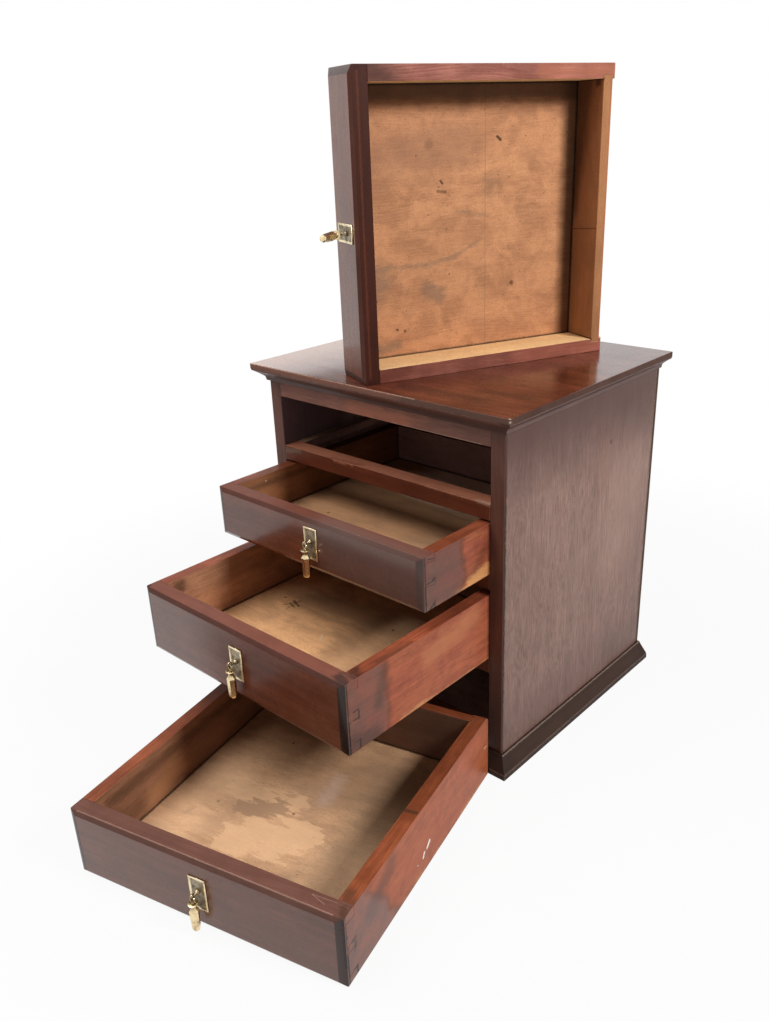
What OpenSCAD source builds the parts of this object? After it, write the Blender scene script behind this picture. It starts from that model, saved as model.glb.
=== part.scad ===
// Tabletop chest with four drawers and brass drop pulls.
// Millimetres. X is the chest's right, Y its back, Z up. The origin is the centre of the
// carcass on the ground. The drawers are drawn in the positions of the photograph.

/* [Carcass] */
// Width of the carcass over its side boards
body_w = 300; // [280:1:330]
// Depth of the carcass with its back boards
body_d = 271.2; // [256:0.2:300]
// Thickness of the side boards
side_t = 15.5; // [13:0.5:18]
// Thickness of the back boards
back_board_t = 5; // [4:0.5:7]
// Thickness of the top board
top_t = 6; // [5:0.5:9]
// Length of the brads that hold the back boards
brad_l = 15; // [12:0.5:18]
// Thickness of the square brads
brad_t = 1.8; // [1.4:0.1:2.2]
// How far the top board stands out at the front and the sides
top_lip = 13.4; // [12:0.2:16]
// Height of the moulding under the top board
mould_h = 12.4; // [11:0.2:16]
// Thickness of the bottom board
base_t = 8; // [6:0.5:10]
// Height of the plinth strips
plinth_h = 18.4; // [17:0.2:22]
// How far the plinth stands out at the front and the sides
plinth_lip = 13; // [11:0.2:16]

/* [Rails] */
// Height of the divider rails and of the bottom rail
rail_h = 15.6; // [13:0.2:18]
// Depth of every rail from front to back
rail_d = 18; // [16:0.5:26]
// Level of the lowest opening's floor
floor_z = 31.8; // [28:0.2:36]
// Height of the rail under the top board
top_rail_h = 27.4; // [22:0.2:32]
// Width of each runner
runner_w = 10; // [8:0.5:14]
// Height of each runner
runner_h = 8; // [6:0.5:10]

/* [Drawers] */
// Height of the two shallow drawers
small_h = 50.8; // [46:0.2:60]
// Height of the two deep drawers
large_h = 67.6; // [62:0.2:76]
// Height left over in an opening of a shallow drawer
small_play = 2.4; // [1.6:0.2:5]
// Height left over in an opening of a deep drawer
large_play = 5.4; // [1.6:0.2:7]
// Level of the bottom board in a shallow drawer
small_lift = 6; // [4:0.2:9]
// Level of the bottom board in a deep drawer
large_lift = 7.6; // [5:0.2:12]
// Height of each pin of a shallow drawer's dovetails
small_pin = 7; // [6:0.2:9]
// Height of each pin of a deep drawer's dovetails
large_pin = 9; // [7:0.2:12]
// How much wider a dovetail is at its end, on each side
flare = 1.6; // [1:0.1:2.4]
// Play on each side of a drawer
side_play = 0.8; // [0.5:0.1:2]
// Thickness of the drawer sides
wall_t = 13.2; // [11:0.2:15]
// Thickness of the drawer fronts without the raised field
front_t = 14; // [13:0.5:18]
// How far the raised field stands out of a drawer front
field_t = 2.5; // [1.5:0.1:3.5]
// Height of the bevel along the top and bottom of the field
bevel_h = 4; // [3:0.1:6]
// Width of the bevel at the ends of the field
bevel_w = 7; // [4:0.1:9]
// Thickness of the drawer backs
rear_t = 10; // [8:0.5:12]
// How far the drawer sides run on behind the drawer back
rear_lip = 5; // [3:0.5:7]
// Thickness of the drawer bottoms
bottom_t = 4; // [3:0.2:5]
// Depth of the grooves for the bottoms and the backs
groove = 3; // [2:0.2:4]
// Radius of the upper rear corner of each drawer side
corner_r = 6; // [3:0.5:9]
// Thickness of the lap that covers the dovetails
lap_t = 2; // [1.5:0.1:3]
// Gap below a drawer that runs in the carcass
run_gap = 0.2; // [0.1:0.05:0.4]
// Gap between a shut drawer and the back boards
stop_gap = 0.5; // [0.3:0.1:3]

/* [Positions] */
// How far the second drawer is pulled out
out_2 = 89.6; // [60:0.2:120]
// How far the third drawer is pulled out
out_3 = 186; // [160:0.5:205]
// Turn of the fourth drawer on the table, in degrees
turn_4 = 14.06; // [5:0.1:25]
// Distance of its rear right corner from the right side of the carcass
inset_4 = 6.1; // [0:0.1:20]
// Gap between that corner and the plinth
gap_4 = 0.6; // [0.4:0.1:0.9]
// Turn of the first drawer on the top board, in degrees
turn_1 = -22.98; // [-30:0.1:-15]
// Distance of its front upper corner to the left of the chest's middle
shift_1 = 2.1; // [0:0.1:10]
// Distance of the same corner from the front edge of the top board
inset_1 = 5.4; // [4:0.1:12]
// Swing of the first drawer's drop from its hanging position, in degrees
swing_1 = 133; // [90:1:150]

/* [Pulls] */
// Width of the back plate
plate_w = 16.5; // [14:0.1:20]
// Height of the back plate
plate_h = 32; // [28:0.1:36]
// Thickness of the back plate at its border
plate_t = 1.2; // [1:0.1:1.6]
// Width of the plate's raised border
plate_rim = 1.9; // [1.4:0.1:2.6]
// Depth of the plate's sunk middle
plate_sink = 0.5; // [0.3:0.05:0.7]
// Mean radius of the eye and of the drop's ring
ring_r = 2.2; // [2.1:0.05:2.5]
// Radius of their wire
wire_r = 0.75; // [0.6:0.01:0.8]
// Distance of the eye's middle from the plate
eye_out = 6.5; // [6:0.1:8]
// Height of the plate's middle above the middle of the drawer front
plate_up = 1.2; // [0:0.1:3]
// Height of the eye above the middle of the plate
eye_up = 2.6; // [1:0.1:4]
// Radius of the drop's collar
collar_r = 4.2; // [3.6:0.1:4.8]
// Radius of the drop's neck
neck_r = 2.2; // [1.8:0.1:2.8]
// Largest radius of the drop's body
drop_r = 3.8; // [3.2:0.1:4.2]
// Distance from the hinge line to the end of the drop
drop_l = 33.5; // [30:0.1:36]

/* [Hidden] */
$fn = 64;
eps = 0.01;

half_w = body_w / 2;
half_d = body_d / 2;
inner_w = body_w - 2 * side_t;
rear_y = half_d - back_board_t;
small_open = small_h + small_play;
large_open = large_h + large_play;
// Floors of the openings, the uppermost first.
floor_3 = floor_z + large_open + rail_h;
floor_2 = floor_3 + large_open + rail_h;
floor_1 = floor_2 + small_open + rail_h;
floors = [floor_1, floor_2, floor_3, floor_z];
under_top = floor_1 + small_open + top_rail_h;
body_h = under_top + top_t;

drawer_w = inner_w - 2 * side_play;
half_drawer = drawer_w / 2;
inside_half = half_drawer - wall_t;
drawer_l = body_d - back_board_t - stop_gap;
heights = [small_h, small_h, large_h, large_h];
lifts = [small_lift, small_lift, large_lift, large_lift];
pins = [small_pin, small_pin, large_pin, large_pin];
rear_face = drawer_l - rear_lip;
plate_y = -field_t - plate_t;
eye_y = plate_y - eye_out;
wire_gap = 0.3;
pivot_drop = ring_r - 2 * wire_r - wire_gap;
shank_r = 1.05;
mahogany = [0.35, 0.17, 0.12];
pale_wood = [0.72, 0.56, 0.39];
brass = [0.80, 0.66, 0.36];

function height(i) = heights[i - 1];
function lift(i) = lifts[i - 1];
function pin(i) = pins[i - 1];
function plate_z(i) = height(i) / 2 + plate_up;
function eye_z(i) = plate_z(i) + eye_up;

// Plan or section drawn in Y and Z and drawn out along X.
module along_x(x0, length) {
  translate([x0, 0, 0]) {
    rotate([90, 0, 90]) {
      linear_extrude(length) {
        children();
      }
    }
  }
}

// Box given by its low corner and its high corner.
module block(low, high) {
  translate(low) {
    cube(high - low);
  }
}

// Moves a drawer from its own frame to where it stands. Its own frame has the middle of the
// front's lower edge at the origin, Y to the drawer's back and Z up.
module place(i) {
  if (i == 1) {
    translate([-shift_1, -half_d - top_lip + inset_1, body_h + half_drawer]) {
      rotate([0, 0, turn_1]) {
        rotate([0, 90, 0]) {
          translate([0, 0, -small_h]) {
            children();
          }
        }
      }
    }
  }
  if (i == 2) {
    translate([0, -half_d - out_2, floor_2 + run_gap]) {
      children();
    }
  }
  if (i == 3) {
    translate([0, -half_d - out_3, floor_3 + run_gap]) {
      children();
    }
  }
  if (i == 4) {
    translate([half_w - inset_4, -half_d - plinth_lip - gap_4, 0]) {
      rotate([0, 0, turn_4]) {
        translate([-half_drawer, -drawer_l, 0]) {
          children();
        }
      }
    }
  }
}

// Carcass.

module brad_places() {
  for (x = [-half_w + side_t / 2, half_w - side_t / 2]) {
    for (k = [0:7]) {
      translate([x, 0, under_top * (k + 0.5) / 8]) {
        children();
      }
    }
  }
}

module brad_shapes() {
  brad_places() {
    translate([-brad_t / 2, half_d - brad_l, -brad_t / 2]) {
      cube([brad_t, brad_l, brad_t]);
    }
  }
}

module side_board() {
  difference() {
    linear_extrude(under_top) {
      polygon([
        [half_w - side_t, -half_d], [half_w - 1, -half_d], [half_w, -half_d + 1],
        [half_w, rear_y], [half_w - side_t, rear_y]
      ]);
    }
    brad_shapes();
  }
}

module side_right() {
  color(mahogany) side_board();
}

module side_left() {
  color(mahogany) mirror([1, 0, 0]) side_board();
}

module top_board() {
  color(mahogany) {
    block(
      [-half_w - top_lip, -half_d - top_lip, under_top],
      [half_w + top_lip, half_d, body_h]
    );
  }
}

// Section of the moulding: distance from the carcass and level.
module moulding_section() {
  translate([0, under_top - mould_h]) {
    polygon([
      [0, 0], [2.2, 0.2], [2.6, mould_h * 0.2], [3.1, mould_h * 0.33],
      [5.0, mould_h * 0.47], [8.0, mould_h * 0.66], [top_lip - 0.9, mould_h * 0.9],
      [top_lip - 0.4, mould_h], [0, mould_h]
    ]);
  }
}

// Section of the plinth: distance from the carcass and level.
module plinth_section() {
  polygon([
    [0, 0], [plinth_lip, 0], [plinth_lip, 4], [plinth_lip - 0.9, 6.7],
    [4.2, plinth_h - 2.6], [3.4, plinth_h - 1.2], [2.4, plinth_h], [0, plinth_h]
  ]);
}

// Plan of a front strip with mitred ends.
module front_plan(lip) {
  polygon([
    [-half_w, -half_d], [-half_w - lip, -half_d - lip],
    [half_w + lip, -half_d - lip], [half_w, -half_d]
  ]);
}

// Plan of the right strip with its mitred front end.
module right_plan(lip) {
  polygon([
    [half_w, -half_d], [half_w + lip, -half_d - lip],
    [half_w + lip, half_d], [half_w, half_d]
  ]);
}

module front_strip(lip, low, high) {
  intersection() {
    translate([-half_w - lip, -half_d, 0]) {
      rotate([90, 0, 90]) {
        linear_extrude(body_w + 2 * lip) {
          mirror([1, 0, 0]) children();
        }
      }
    }
    translate([0, 0, low]) {
      linear_extrude(high - low) {
        front_plan(lip);
      }
    }
  }
}

module right_strip(lip, low, high) {
  intersection() {
    translate([half_w, half_d, 0]) {
      rotate([90, 0, 0]) {
        linear_extrude(body_d + lip) {
          children();
        }
      }
    }
    translate([0, 0, low]) {
      linear_extrude(high - low) {
        right_plan(lip);
      }
    }
  }
}

module moulding_front() {
  color(mahogany) front_strip(top_lip, under_top - mould_h, under_top) moulding_section();
}

module moulding_right() {
  color(mahogany) right_strip(top_lip, under_top - mould_h, under_top) moulding_section();
}

module moulding_left() {
  color(mahogany) {
    mirror([1, 0, 0]) {
      right_strip(top_lip, under_top - mould_h, under_top) moulding_section();
    }
  }
}

module plinth_front() {
  color(mahogany) front_strip(plinth_lip, 0, plinth_h) plinth_section();
}

module plinth_right() {
  color(mahogany) right_strip(plinth_lip, 0, plinth_h) plinth_section();
}

module plinth_left() {
  color(mahogany) mirror([1, 0, 0]) right_strip(plinth_lip, 0, plinth_h) plinth_section();
}

module rail(top, high) {
  color(mahogany) {
    block(
      [-inner_w / 2, -half_d, top - high],
      [inner_w / 2, -half_d + rail_d, top]
    );
  }
}

module top_rail() {
  rail(under_top, top_rail_h);
}

module divider_rail_1() {
  rail(floor_1, rail_h);
}

module divider_rail_2() {
  rail(floor_2, rail_h);
}

module divider_rail_3() {
  rail(floor_3, rail_h);
}

module bottom_rail() {
  rail(floor_z, rail_h);
}

module bottom_board() {
  color(pale_wood) block([-inner_w / 2, -half_d, 0], [inner_w / 2, rear_y, base_t]);
}

module back_board(low, high) {
  color(mahogany) {
    difference() {
      block([-half_w, rear_y, low], [half_w, half_d, high]);
      brad_shapes();
    }
  }
}

module back_board_lower() {
  back_board(0, under_top / 2);
}

module back_board_upper() {
  back_board(under_top / 2, under_top);
}

module back_brads() {
  color([0.3, 0.3, 0.3]) brad_shapes();
}

module runner(i, side) {
  low = [inner_w / 2 - runner_w, -half_d + rail_d, floors[i - 1] - runner_h];
  high = [inner_w / 2, rear_y, floors[i - 1]];
  color(pale_wood) {
    mirror([side < 0 ? 1 : 0, 0, 0]) {
      block(low, high);
    }
  }
}

module runner_1_left() {
  runner(1, -1);
}

module runner_1_right() {
  runner(1, 1);
}

module runner_2_left() {
  runner(2, -1);
}

module runner_2_right() {
  runner(2, 1);
}

module runner_3_left() {
  runner(3, -1);
}

module runner_3_right() {
  runner(3, 1);
}

module runner_4_left() {
  runner(4, -1);
}

module runner_4_right() {
  runner(4, 1);
}

// Drawer pieces, each in the drawer's own frame.

// Outline of the two tails of one corner, in Y and Z.
module tails(h, pin) {
  tail = (h - 3 * pin) / 2;
  for (low = [pin, 2 * pin + tail]) {
    polygon([
      [lap_t, low - flare], [front_t, low], [front_t, low + tail],
      [lap_t, low + tail + flare]
    ]);
  }
}

module front_piece(h, pin, bottom_z, hole_z) {
  difference() {
    intersection() {
      linear_extrude(h) {
        polygon([
          [-half_drawer, 0], [-half_drawer + bevel_w, -field_t],
          [half_drawer - bevel_w, -field_t], [half_drawer, 0],
          [half_drawer, front_t], [-half_drawer, front_t]
        ]);
      }
      along_x(-half_drawer, drawer_w) {
        polygon([
          [0, 0], [-field_t, bevel_h], [-field_t, h - bevel_h], [0, h],
          [front_t, h], [front_t, 0]
        ]);
      }
    }
    along_x(-half_drawer - eps, wall_t + eps) tails(h, pin);
    along_x(inside_half, wall_t + eps) tails(h, pin);
    block(
      [-inside_half, front_t - groove, bottom_z],
      [inside_half, front_t + eps, bottom_z + bottom_t]
    );
    translate([0, front_t + eps, hole_z]) {
      rotate([90, 0, 0]) {
        cylinder(h = front_t + field_t + 1, r = shank_r + 0.1);
      }
    }
  }
}

module side_piece(h, pin, bottom_z) {
  difference() {
    along_x(inside_half, wall_t) {
      union() {
        difference() {
          translate([front_t, 0]) {
            square([drawer_l - front_t, h]);
          }
          translate([drawer_l - corner_r, h - corner_r]) {
            difference() {
              square([corner_r + eps, corner_r + eps]);
              circle(corner_r);
            }
          }
        }
        tails(h, pin);
      }
    }
    block(
      [inside_half - eps, front_t, bottom_z],
      [inside_half + groove, drawer_l + eps, bottom_z + bottom_t]
    );
    block(
      [inside_half - eps, rear_face - rear_t, bottom_z],
      [inside_half + groove, rear_face, h + eps]
    );
  }
}

module back_piece(h, bottom_z) {
  block(
    [-inside_half - groove, rear_face - rear_t, bottom_z + bottom_t],
    [inside_half + groove, rear_face, h]
  );
}

module bottom_piece(bottom_z) {
  translate([0, 0, bottom_z]) {
    linear_extrude(bottom_t) {
      polygon([
        [-inside_half, front_t - groove], [inside_half, front_t - groove],
        [inside_half, front_t], [inside_half + groove, front_t],
        [inside_half + groove, rear_face], [-inside_half - groove, rear_face],
        [-inside_half - groove, front_t], [-inside_half, front_t]
      ]);
    }
  }
}

module drawer_front(i) {
  color(mahogany) place(i) front_piece(height(i), pin(i), lift(i), eye_z(i));
}

module drawer_side(i, side) {
  color(mahogany) {
    place(i) {
      mirror([side < 0 ? 1 : 0, 0, 0]) {
        side_piece(height(i), pin(i), lift(i));
      }
    }
  }
}

module drawer_back(i) {
  color(mahogany) place(i) back_piece(height(i), lift(i));
}

module drawer_bottom(i) {
  color(pale_wood) place(i) bottom_piece(lift(i));
}

// Pull pieces, each in the drawer's own frame.

module plate_piece(middle_z, hole_z) {
  difference() {
    block(
      [-plate_w / 2, plate_y, middle_z - plate_h / 2],
      [plate_w / 2, -field_t, middle_z + plate_h / 2]
    );
    block(
      [-plate_w / 2 + plate_rim, plate_y - eps, middle_z - plate_h / 2 + plate_rim],
      [plate_w / 2 - plate_rim, plate_y + plate_sink, middle_z + plate_h / 2 - plate_rim]
    );
    translate([0, 1, hole_z]) {
      rotate([90, 0, 0]) {
        cylinder(h = 6, r = shank_r + 0.1);
      }
    }
  }
}

module wire_ring() {
  rotate_extrude() {
    translate([ring_r, 0]) {
      circle(wire_r, $fn = 24);
    }
  }
}

module eye_piece(z) {
  leg = 6;
  translate([0, eye_y, z]) {
    rotate([0, 90, 0]) {
      wire_ring();
    }
  }
  translate([0, front_t + 0.4, z]) {
    rotate([90, 0, 0]) {
      cylinder(h = front_t + 0.4 - eye_y - ring_r, r = shank_r);
    }
  }
  block([-0.8, front_t, z - leg], [0.8, front_t + 0.8, z + leg]);
}

// The drop about its hinge line, hanging down.
module drop_piece() {
  translate([0, 0, -ring_r]) {
    rotate([90, 0, 0]) {
      wire_ring();
    }
  }
  stem = ring_r * 2;
  rotate_extrude() {
    polygon([
      [0, -stem - 0.2], [1.1, -stem - 0.2], [1.4, -stem - 0.9],
      [collar_r, -stem - 1.1], [collar_r, -stem - 2.0], [neck_r + 0.5, -stem - 2.5],
      [neck_r, -stem - 4.0], [neck_r + 0.2, -stem - 6.2], [drop_r - 0.8, -stem - 7.1],
      [drop_r, -stem - 8.8], [drop_r, -stem - 9.8], [drop_r - 0.5, -drop_l + 3.0],
      [drop_r - 1.2, -drop_l + 1.0], [1.4, -drop_l + 0.1], [0, -drop_l]
    ]);
  }
}

module pull_plate(i) {
  color(brass) place(i) plate_piece(plate_z(i), eye_z(i));
}

module pull_eye(i) {
  color(brass) place(i) eye_piece(eye_z(i));
}

module pull_drop(i) {
  color(brass) {
    place(i) {
      translate([0, eye_y, eye_z(i) - pivot_drop]) {
        rotate([i == 1 ? -swing_1 : 0, 0, 0]) {
          drop_piece();
        }
      }
    }
  }
}

module drawer_1_front() {
  drawer_front(1);
}

module drawer_1_side_left() {
  drawer_side(1, -1);
}

module drawer_1_side_right() {
  drawer_side(1, 1);
}

module drawer_1_back() {
  drawer_back(1);
}

module drawer_1_bottom() {
  drawer_bottom(1);
}

module pull_plate_1() {
  pull_plate(1);
}

module pull_eye_1() {
  pull_eye(1);
}

module pull_drop_1() {
  pull_drop(1);
}

module drawer_2_front() {
  drawer_front(2);
}

module drawer_2_side_left() {
  drawer_side(2, -1);
}

module drawer_2_side_right() {
  drawer_side(2, 1);
}

module drawer_2_back() {
  drawer_back(2);
}

module drawer_2_bottom() {
  drawer_bottom(2);
}

module pull_plate_2() {
  pull_plate(2);
}

module pull_eye_2() {
  pull_eye(2);
}

module pull_drop_2() {
  pull_drop(2);
}

module drawer_3_front() {
  drawer_front(3);
}

module drawer_3_side_left() {
  drawer_side(3, -1);
}

module drawer_3_side_right() {
  drawer_side(3, 1);
}

module drawer_3_back() {
  drawer_back(3);
}

module drawer_3_bottom() {
  drawer_bottom(3);
}

module pull_plate_3() {
  pull_plate(3);
}

module pull_eye_3() {
  pull_eye(3);
}

module pull_drop_3() {
  pull_drop(3);
}

module drawer_4_front() {
  drawer_front(4);
}

module drawer_4_side_left() {
  drawer_side(4, -1);
}

module drawer_4_side_right() {
  drawer_side(4, 1);
}

module drawer_4_back() {
  drawer_back(4);
}

module drawer_4_bottom() {
  drawer_bottom(4);
}

module pull_plate_4() {
  pull_plate(4);
}

module pull_eye_4() {
  pull_eye(4);
}

module pull_drop_4() {
  pull_drop(4);
}

// Drawing of the chosen pieces.

side_left();
side_right();
top_board();
moulding_front();
moulding_left();
moulding_right();
top_rail();
divider_rail_1();
divider_rail_2();
divider_rail_3();
bottom_rail();
bottom_board();
back_board_upper();
back_board_lower();
back_brads();
plinth_front();
plinth_left();
plinth_right();
runner_1_left();
runner_1_right();
runner_2_left();
runner_2_right();
runner_3_left();
runner_3_right();
runner_4_left();
runner_4_right();
drawer_1_front();
drawer_1_side_left();
drawer_1_side_right();
drawer_1_back();
drawer_1_bottom();
pull_plate_1();
pull_eye_1();
pull_drop_1();
drawer_2_front();
drawer_2_side_left();
drawer_2_side_right();
drawer_2_back();
drawer_2_bottom();
pull_plate_2();
pull_eye_2();
pull_drop_2();
drawer_3_front();
drawer_3_side_left();
drawer_3_side_right();
drawer_3_back();
drawer_3_bottom();
pull_plate_3();
pull_eye_3();
pull_drop_3();
drawer_4_front();
drawer_4_side_left();
drawer_4_side_right();
drawer_4_back();
drawer_4_bottom();
pull_plate_4();
pull_eye_4();
pull_drop_4();
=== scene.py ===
"""Dresses a tabletop chest of four drawers in polished mahogany, bare drawer wood and old brass.

The chest stands with its lowest drawer drawn right out onto the table, the two above it part
open and the top drawer stood on its side on the lid. Lengths are in millimetres in the frame of
the piece they belong to, and turn into metres where a mesh, a light or the camera is made.
"""

import logging
import math
from dataclasses import dataclass, field
from enum import Enum
from typing import Callable, Iterable, Sequence

import bmesh
import bpy
from mathutils import Matrix, Vector

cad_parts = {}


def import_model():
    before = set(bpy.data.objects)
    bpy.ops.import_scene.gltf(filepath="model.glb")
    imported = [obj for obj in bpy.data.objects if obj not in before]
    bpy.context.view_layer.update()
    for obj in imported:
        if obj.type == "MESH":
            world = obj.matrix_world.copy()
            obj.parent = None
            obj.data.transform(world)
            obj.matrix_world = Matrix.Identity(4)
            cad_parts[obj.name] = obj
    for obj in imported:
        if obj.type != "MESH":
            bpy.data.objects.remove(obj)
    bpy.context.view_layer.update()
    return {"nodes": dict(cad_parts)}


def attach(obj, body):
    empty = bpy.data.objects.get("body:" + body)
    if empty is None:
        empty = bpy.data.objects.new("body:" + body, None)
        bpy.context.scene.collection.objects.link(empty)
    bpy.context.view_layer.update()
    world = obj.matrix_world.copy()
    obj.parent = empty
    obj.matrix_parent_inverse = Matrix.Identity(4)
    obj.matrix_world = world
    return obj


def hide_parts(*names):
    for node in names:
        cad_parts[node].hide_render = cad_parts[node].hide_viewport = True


MM = 0.001
Colour = tuple[float, float, float]
Point = tuple[float, float, float]
Socket = bpy.types.NodeSocket
log = logging.getLogger("chest")

EVEN: Point = (1.0, 1.0, 1.0)
NOWHERE: Point = (0.0, 0.0, 0.0)
WHITE: Colour = (1.0, 1.0, 1.0)
BLACK_DIRT: Colour = (0.012, 0.007, 0.005)
# Brown dirt, also used once as a painted shadow on drawer 1's back.
BROWN_DIRT_AND_SHADE: Colour = (0.060, 0.028, 0.015)
GREY_DIRT: Colour = (0.190, 0.130, 0.090)
# Pale pinkish patches: partly dust, partly a painted sheen.
PALE_DUST_AND_SHEEN: Colour = (0.300, 0.220, 0.190)

# The case: half its width, half its depth, and the lid's front face and top as marks reach them.
CASE_SIDE = 150.0
CASE_FRONT = 135.6
LID_FRONT = 149.0
LID_TOP = 364.0

# The drawers: their heights, half their width outside and inside, and the bottoms' upper faces.
SMALL_TOP = 50.8
LARGE_TOP = 67.6
OUTSIDE = 133.7
INSIDE = 120.5
SMALL_FLOOR = 10.0
LARGE_FLOOR = 11.6
FRONT_THICK = 14.0
BACK_WALL = 250.7


def millimetres(x: float, y: float, z: float) -> Matrix:
    """The shift by a distance given in millimetres."""
    return Matrix.Translation((x * MM, y * MM, z * MM))


def turn(degrees: float, axis: str) -> Matrix:
    """The turn about one of the axes."""
    return Matrix.Rotation(math.radians(degrees), 4, axis)


def shade(colour: Colour, share: float) -> Colour:
    """A colour at a share of its strength."""
    return tuple(part * share for part in colour)


class Grain(Enum):
    """The direction that a board's grain runs in, in its own frame."""

    ACROSS = (0, 1, 2)
    DEPTH = (1, 0, 2)
    UPRIGHT = (2, 0, 1)


class Facing(Enum):
    """The side of a board that a face looks to, in the board's own frame."""

    LEFT = (-1, 0, 0)
    RIGHT = (1, 0, 0)
    FRONT = (0, -1, 0)
    REAR = (0, 1, 0)
    UNDER = (0, 0, -1)
    TOP = (0, 0, 1)
    SLOPE_LEFT = (-0.336, -0.942, 0)
    SLOPE_RIGHT = (0.336, -0.942, 0)
    SLOPE_UNDER = (0, -0.848, -0.530)
    SLOPE_TOP = (0, -0.848, 0.530)

    @property
    def plain(self) -> "Facing":
        """The flat side that a slope belongs to, or the side itself."""
        return Facing.FRONT if self.name.startswith("SLOPE") else self

    @classmethod
    def of(cls, normal: Vector) -> "Facing":
        """The side that a normal points to most.

        Args:
            normal: The face's normal.

        Returns:
            The side whose direction is nearest.
        """
        return max(cls, key=lambda side: normal.dot(Vector(side.value)))


class Sheet:
    """A node tree that is being filled in, with one short method for each kind of node used."""

    def __init__(self, tree: bpy.types.NodeTree) -> None:
        """Keeps the tree and empties it.

        Args:
            tree: The shader tree of a material, world or group.
        """
        self.tree = tree
        tree.nodes.clear()

    def node(self, kind: str, **settings: object) -> bpy.types.Node:
        """A new node.

        Args:
            kind: The node's type without its ShaderNode prefix.
            **settings: Properties to set on it.

        Returns:
            The node.
        """
        made = self.tree.nodes.new("ShaderNode" + kind)
        for name, value in settings.items():
            setattr(made, name, value)
        return made

    def put(self, target: Socket, value: object) -> None:
        """Links a socket to an input, or sets the input's own value.

        Args:
            target: The input.
            value: A socket, a number, a colour or a vector.
        """
        if isinstance(value, bpy.types.NodeSocket):
            self.tree.links.new(value, target)
        elif isinstance(value, (tuple, list)):
            size = len(target.default_value)
            target.default_value = (*value, 1.0)[:size]
        else:
            target.default_value = value

    def fill(self, node: bpy.types.Node, **values: object) -> None:
        """Fills a node's inputs by name.

        Args:
            node: The node.
            **values: Its inputs, with underscores for the spaces in their names.
        """
        for name, value in values.items():
            self.put(node.inputs[name.replace("_", " ")], value)

    def math(self, operation: str, a: object, b: object = 0.0, clamp: bool = False) -> Socket:
        """A figure worked out from two values.

        Args:
            operation: The Math node's operation.
            a: The first value.
            b: The second value.
            clamp: Whether the result is kept between 0 and 1.

        Returns:
            The result.
        """
        made = self.node("Math", operation=operation, use_clamp=clamp)
        self.put(made.inputs[0], a)
        self.put(made.inputs[1], b)
        return made.outputs[0]

    def plus(self, a: object, b: object) -> Socket:
        """The sum of two values."""
        return self.math("ADD", a, b)

    def minus(self, a: object, b: object) -> Socket:
        """The first value less the second."""
        return self.math("SUBTRACT", a, b)

    def times(self, a: object, b: object) -> Socket:
        """The product of two values."""
        return self.math("MULTIPLY", a, b)

    def over(self, a: object, b: object) -> Socket:
        """The first value divided by the second."""
        return self.math("DIVIDE", a, b)

    def vector(self, operation: str, a: object, b: object) -> Socket:
        """A sum or product of two vectors.

        Args:
            operation: The Vector Math node's operation.
            a: The first vector.
            b: The second vector.

        Returns:
            The resulting vector.
        """
        made = self.node("VectorMath", operation=operation)
        self.put(made.inputs[0], a)
        self.put(made.inputs[1], b)
        return made.outputs[0]

    def measure(self, operation: str, a: object, b: object = NOWHERE) -> Socket:
        """A plain value taken from vectors, such as a length or a dot product.

        Args:
            operation: The Vector Math node's operation.
            a: The first vector.
            b: The second vector.

        Returns:
            The value.
        """
        made = self.node("VectorMath", operation=operation)
        self.put(made.inputs[0], a)
        self.put(made.inputs[1], b)
        return made.outputs["Value"]

    def mix(self, share: object, a: object, b: object) -> Socket:
        """A colour part of the way from one colour to another.

        Args:
            share: How much of the second colour shows.
            a: The first colour.
            b: The second colour.

        Returns:
            The mixed colour.
        """
        made = self.node("Mix", data_type="RGBA", clamp_factor=True)
        self.put(made.inputs[0], share)
        self.put(made.inputs[6], a)
        self.put(made.inputs[7], b)
        return made.outputs[2]

    def lay(self, ground: Socket, colour: object, mask: Socket, share: float) -> Socket:
        """A colour laid over another where a mask shows.

        Args:
            ground: The colour underneath.
            colour: The colour on top.
            mask: Where the colour on top lies, from 0 to 1.
            share: How much of it shows there.

        Returns:
            The colour with the other over it.
        """
        return self.mix(self.times(mask, share), ground, colour)

    def blend(self, share: object, a: object, b: object) -> Socket:
        """A value part of the way from one value to another.

        Args:
            share: How much of the second value counts.
            a: The first value.
            b: The second value.

        Returns:
            The value between them.
        """
        made = self.node("Mix", data_type="FLOAT", clamp_factor=True)
        self.put(made.inputs[0], share)
        self.put(made.inputs[2], a)
        self.put(made.inputs[3], b)
        return made.outputs[0]

    def span(self, value: object, low: object, high: object, start: object = 0.0,
             end: object = 1.0) -> Socket:
        """A value taken from one range to another along a soft S-curve.

        Args:
            value: The value.
            low: Where the result reaches start.
            high: Where the result reaches end.
            start: The result at low.
            end: The result at high.

        Returns:
            The result, kept between start and end.
        """
        made = self.node("MapRange", interpolation_type="SMOOTHSTEP", clamp=True)
        for index, item in enumerate((value, low, high, start, end)):
            self.put(made.inputs[index], item)
        return made.outputs[0]

    def noise(self, where: Socket, stretch: Point, detail: float = 2.0, rough: float = 0.5,
              swirl: float = 0.0) -> Socket:
        """Noise whose lumps have a given size along each axis.

        Args:
            where: The place, in millimetres.
            stretch: The size of a lump along each axis, in millimetres.
            detail: The number of finer layers.
            rough: The strength of the finer layers.
            swirl: How far the pattern is pushed about.

        Returns:
            The noise, mostly between 0.3 and 0.7.
        """
        scaled = self.vector("MULTIPLY", where, tuple(1 / size for size in stretch))
        made = self.node("TexNoise", noise_dimensions="3D")
        self.fill(made, Vector=scaled, Scale=1.0, Detail=detail, Roughness=rough,
                  Distortion=swirl)
        return made.outputs[0]

    def split(self, value: object) -> Sequence[Socket]:
        """The three parts of a vector.

        Args:
            value: The vector.

        Returns:
            Its parts along X, Y and Z.
        """
        made = self.node("SeparateXYZ")
        self.put(made.inputs[0], value)
        return made.outputs

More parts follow.
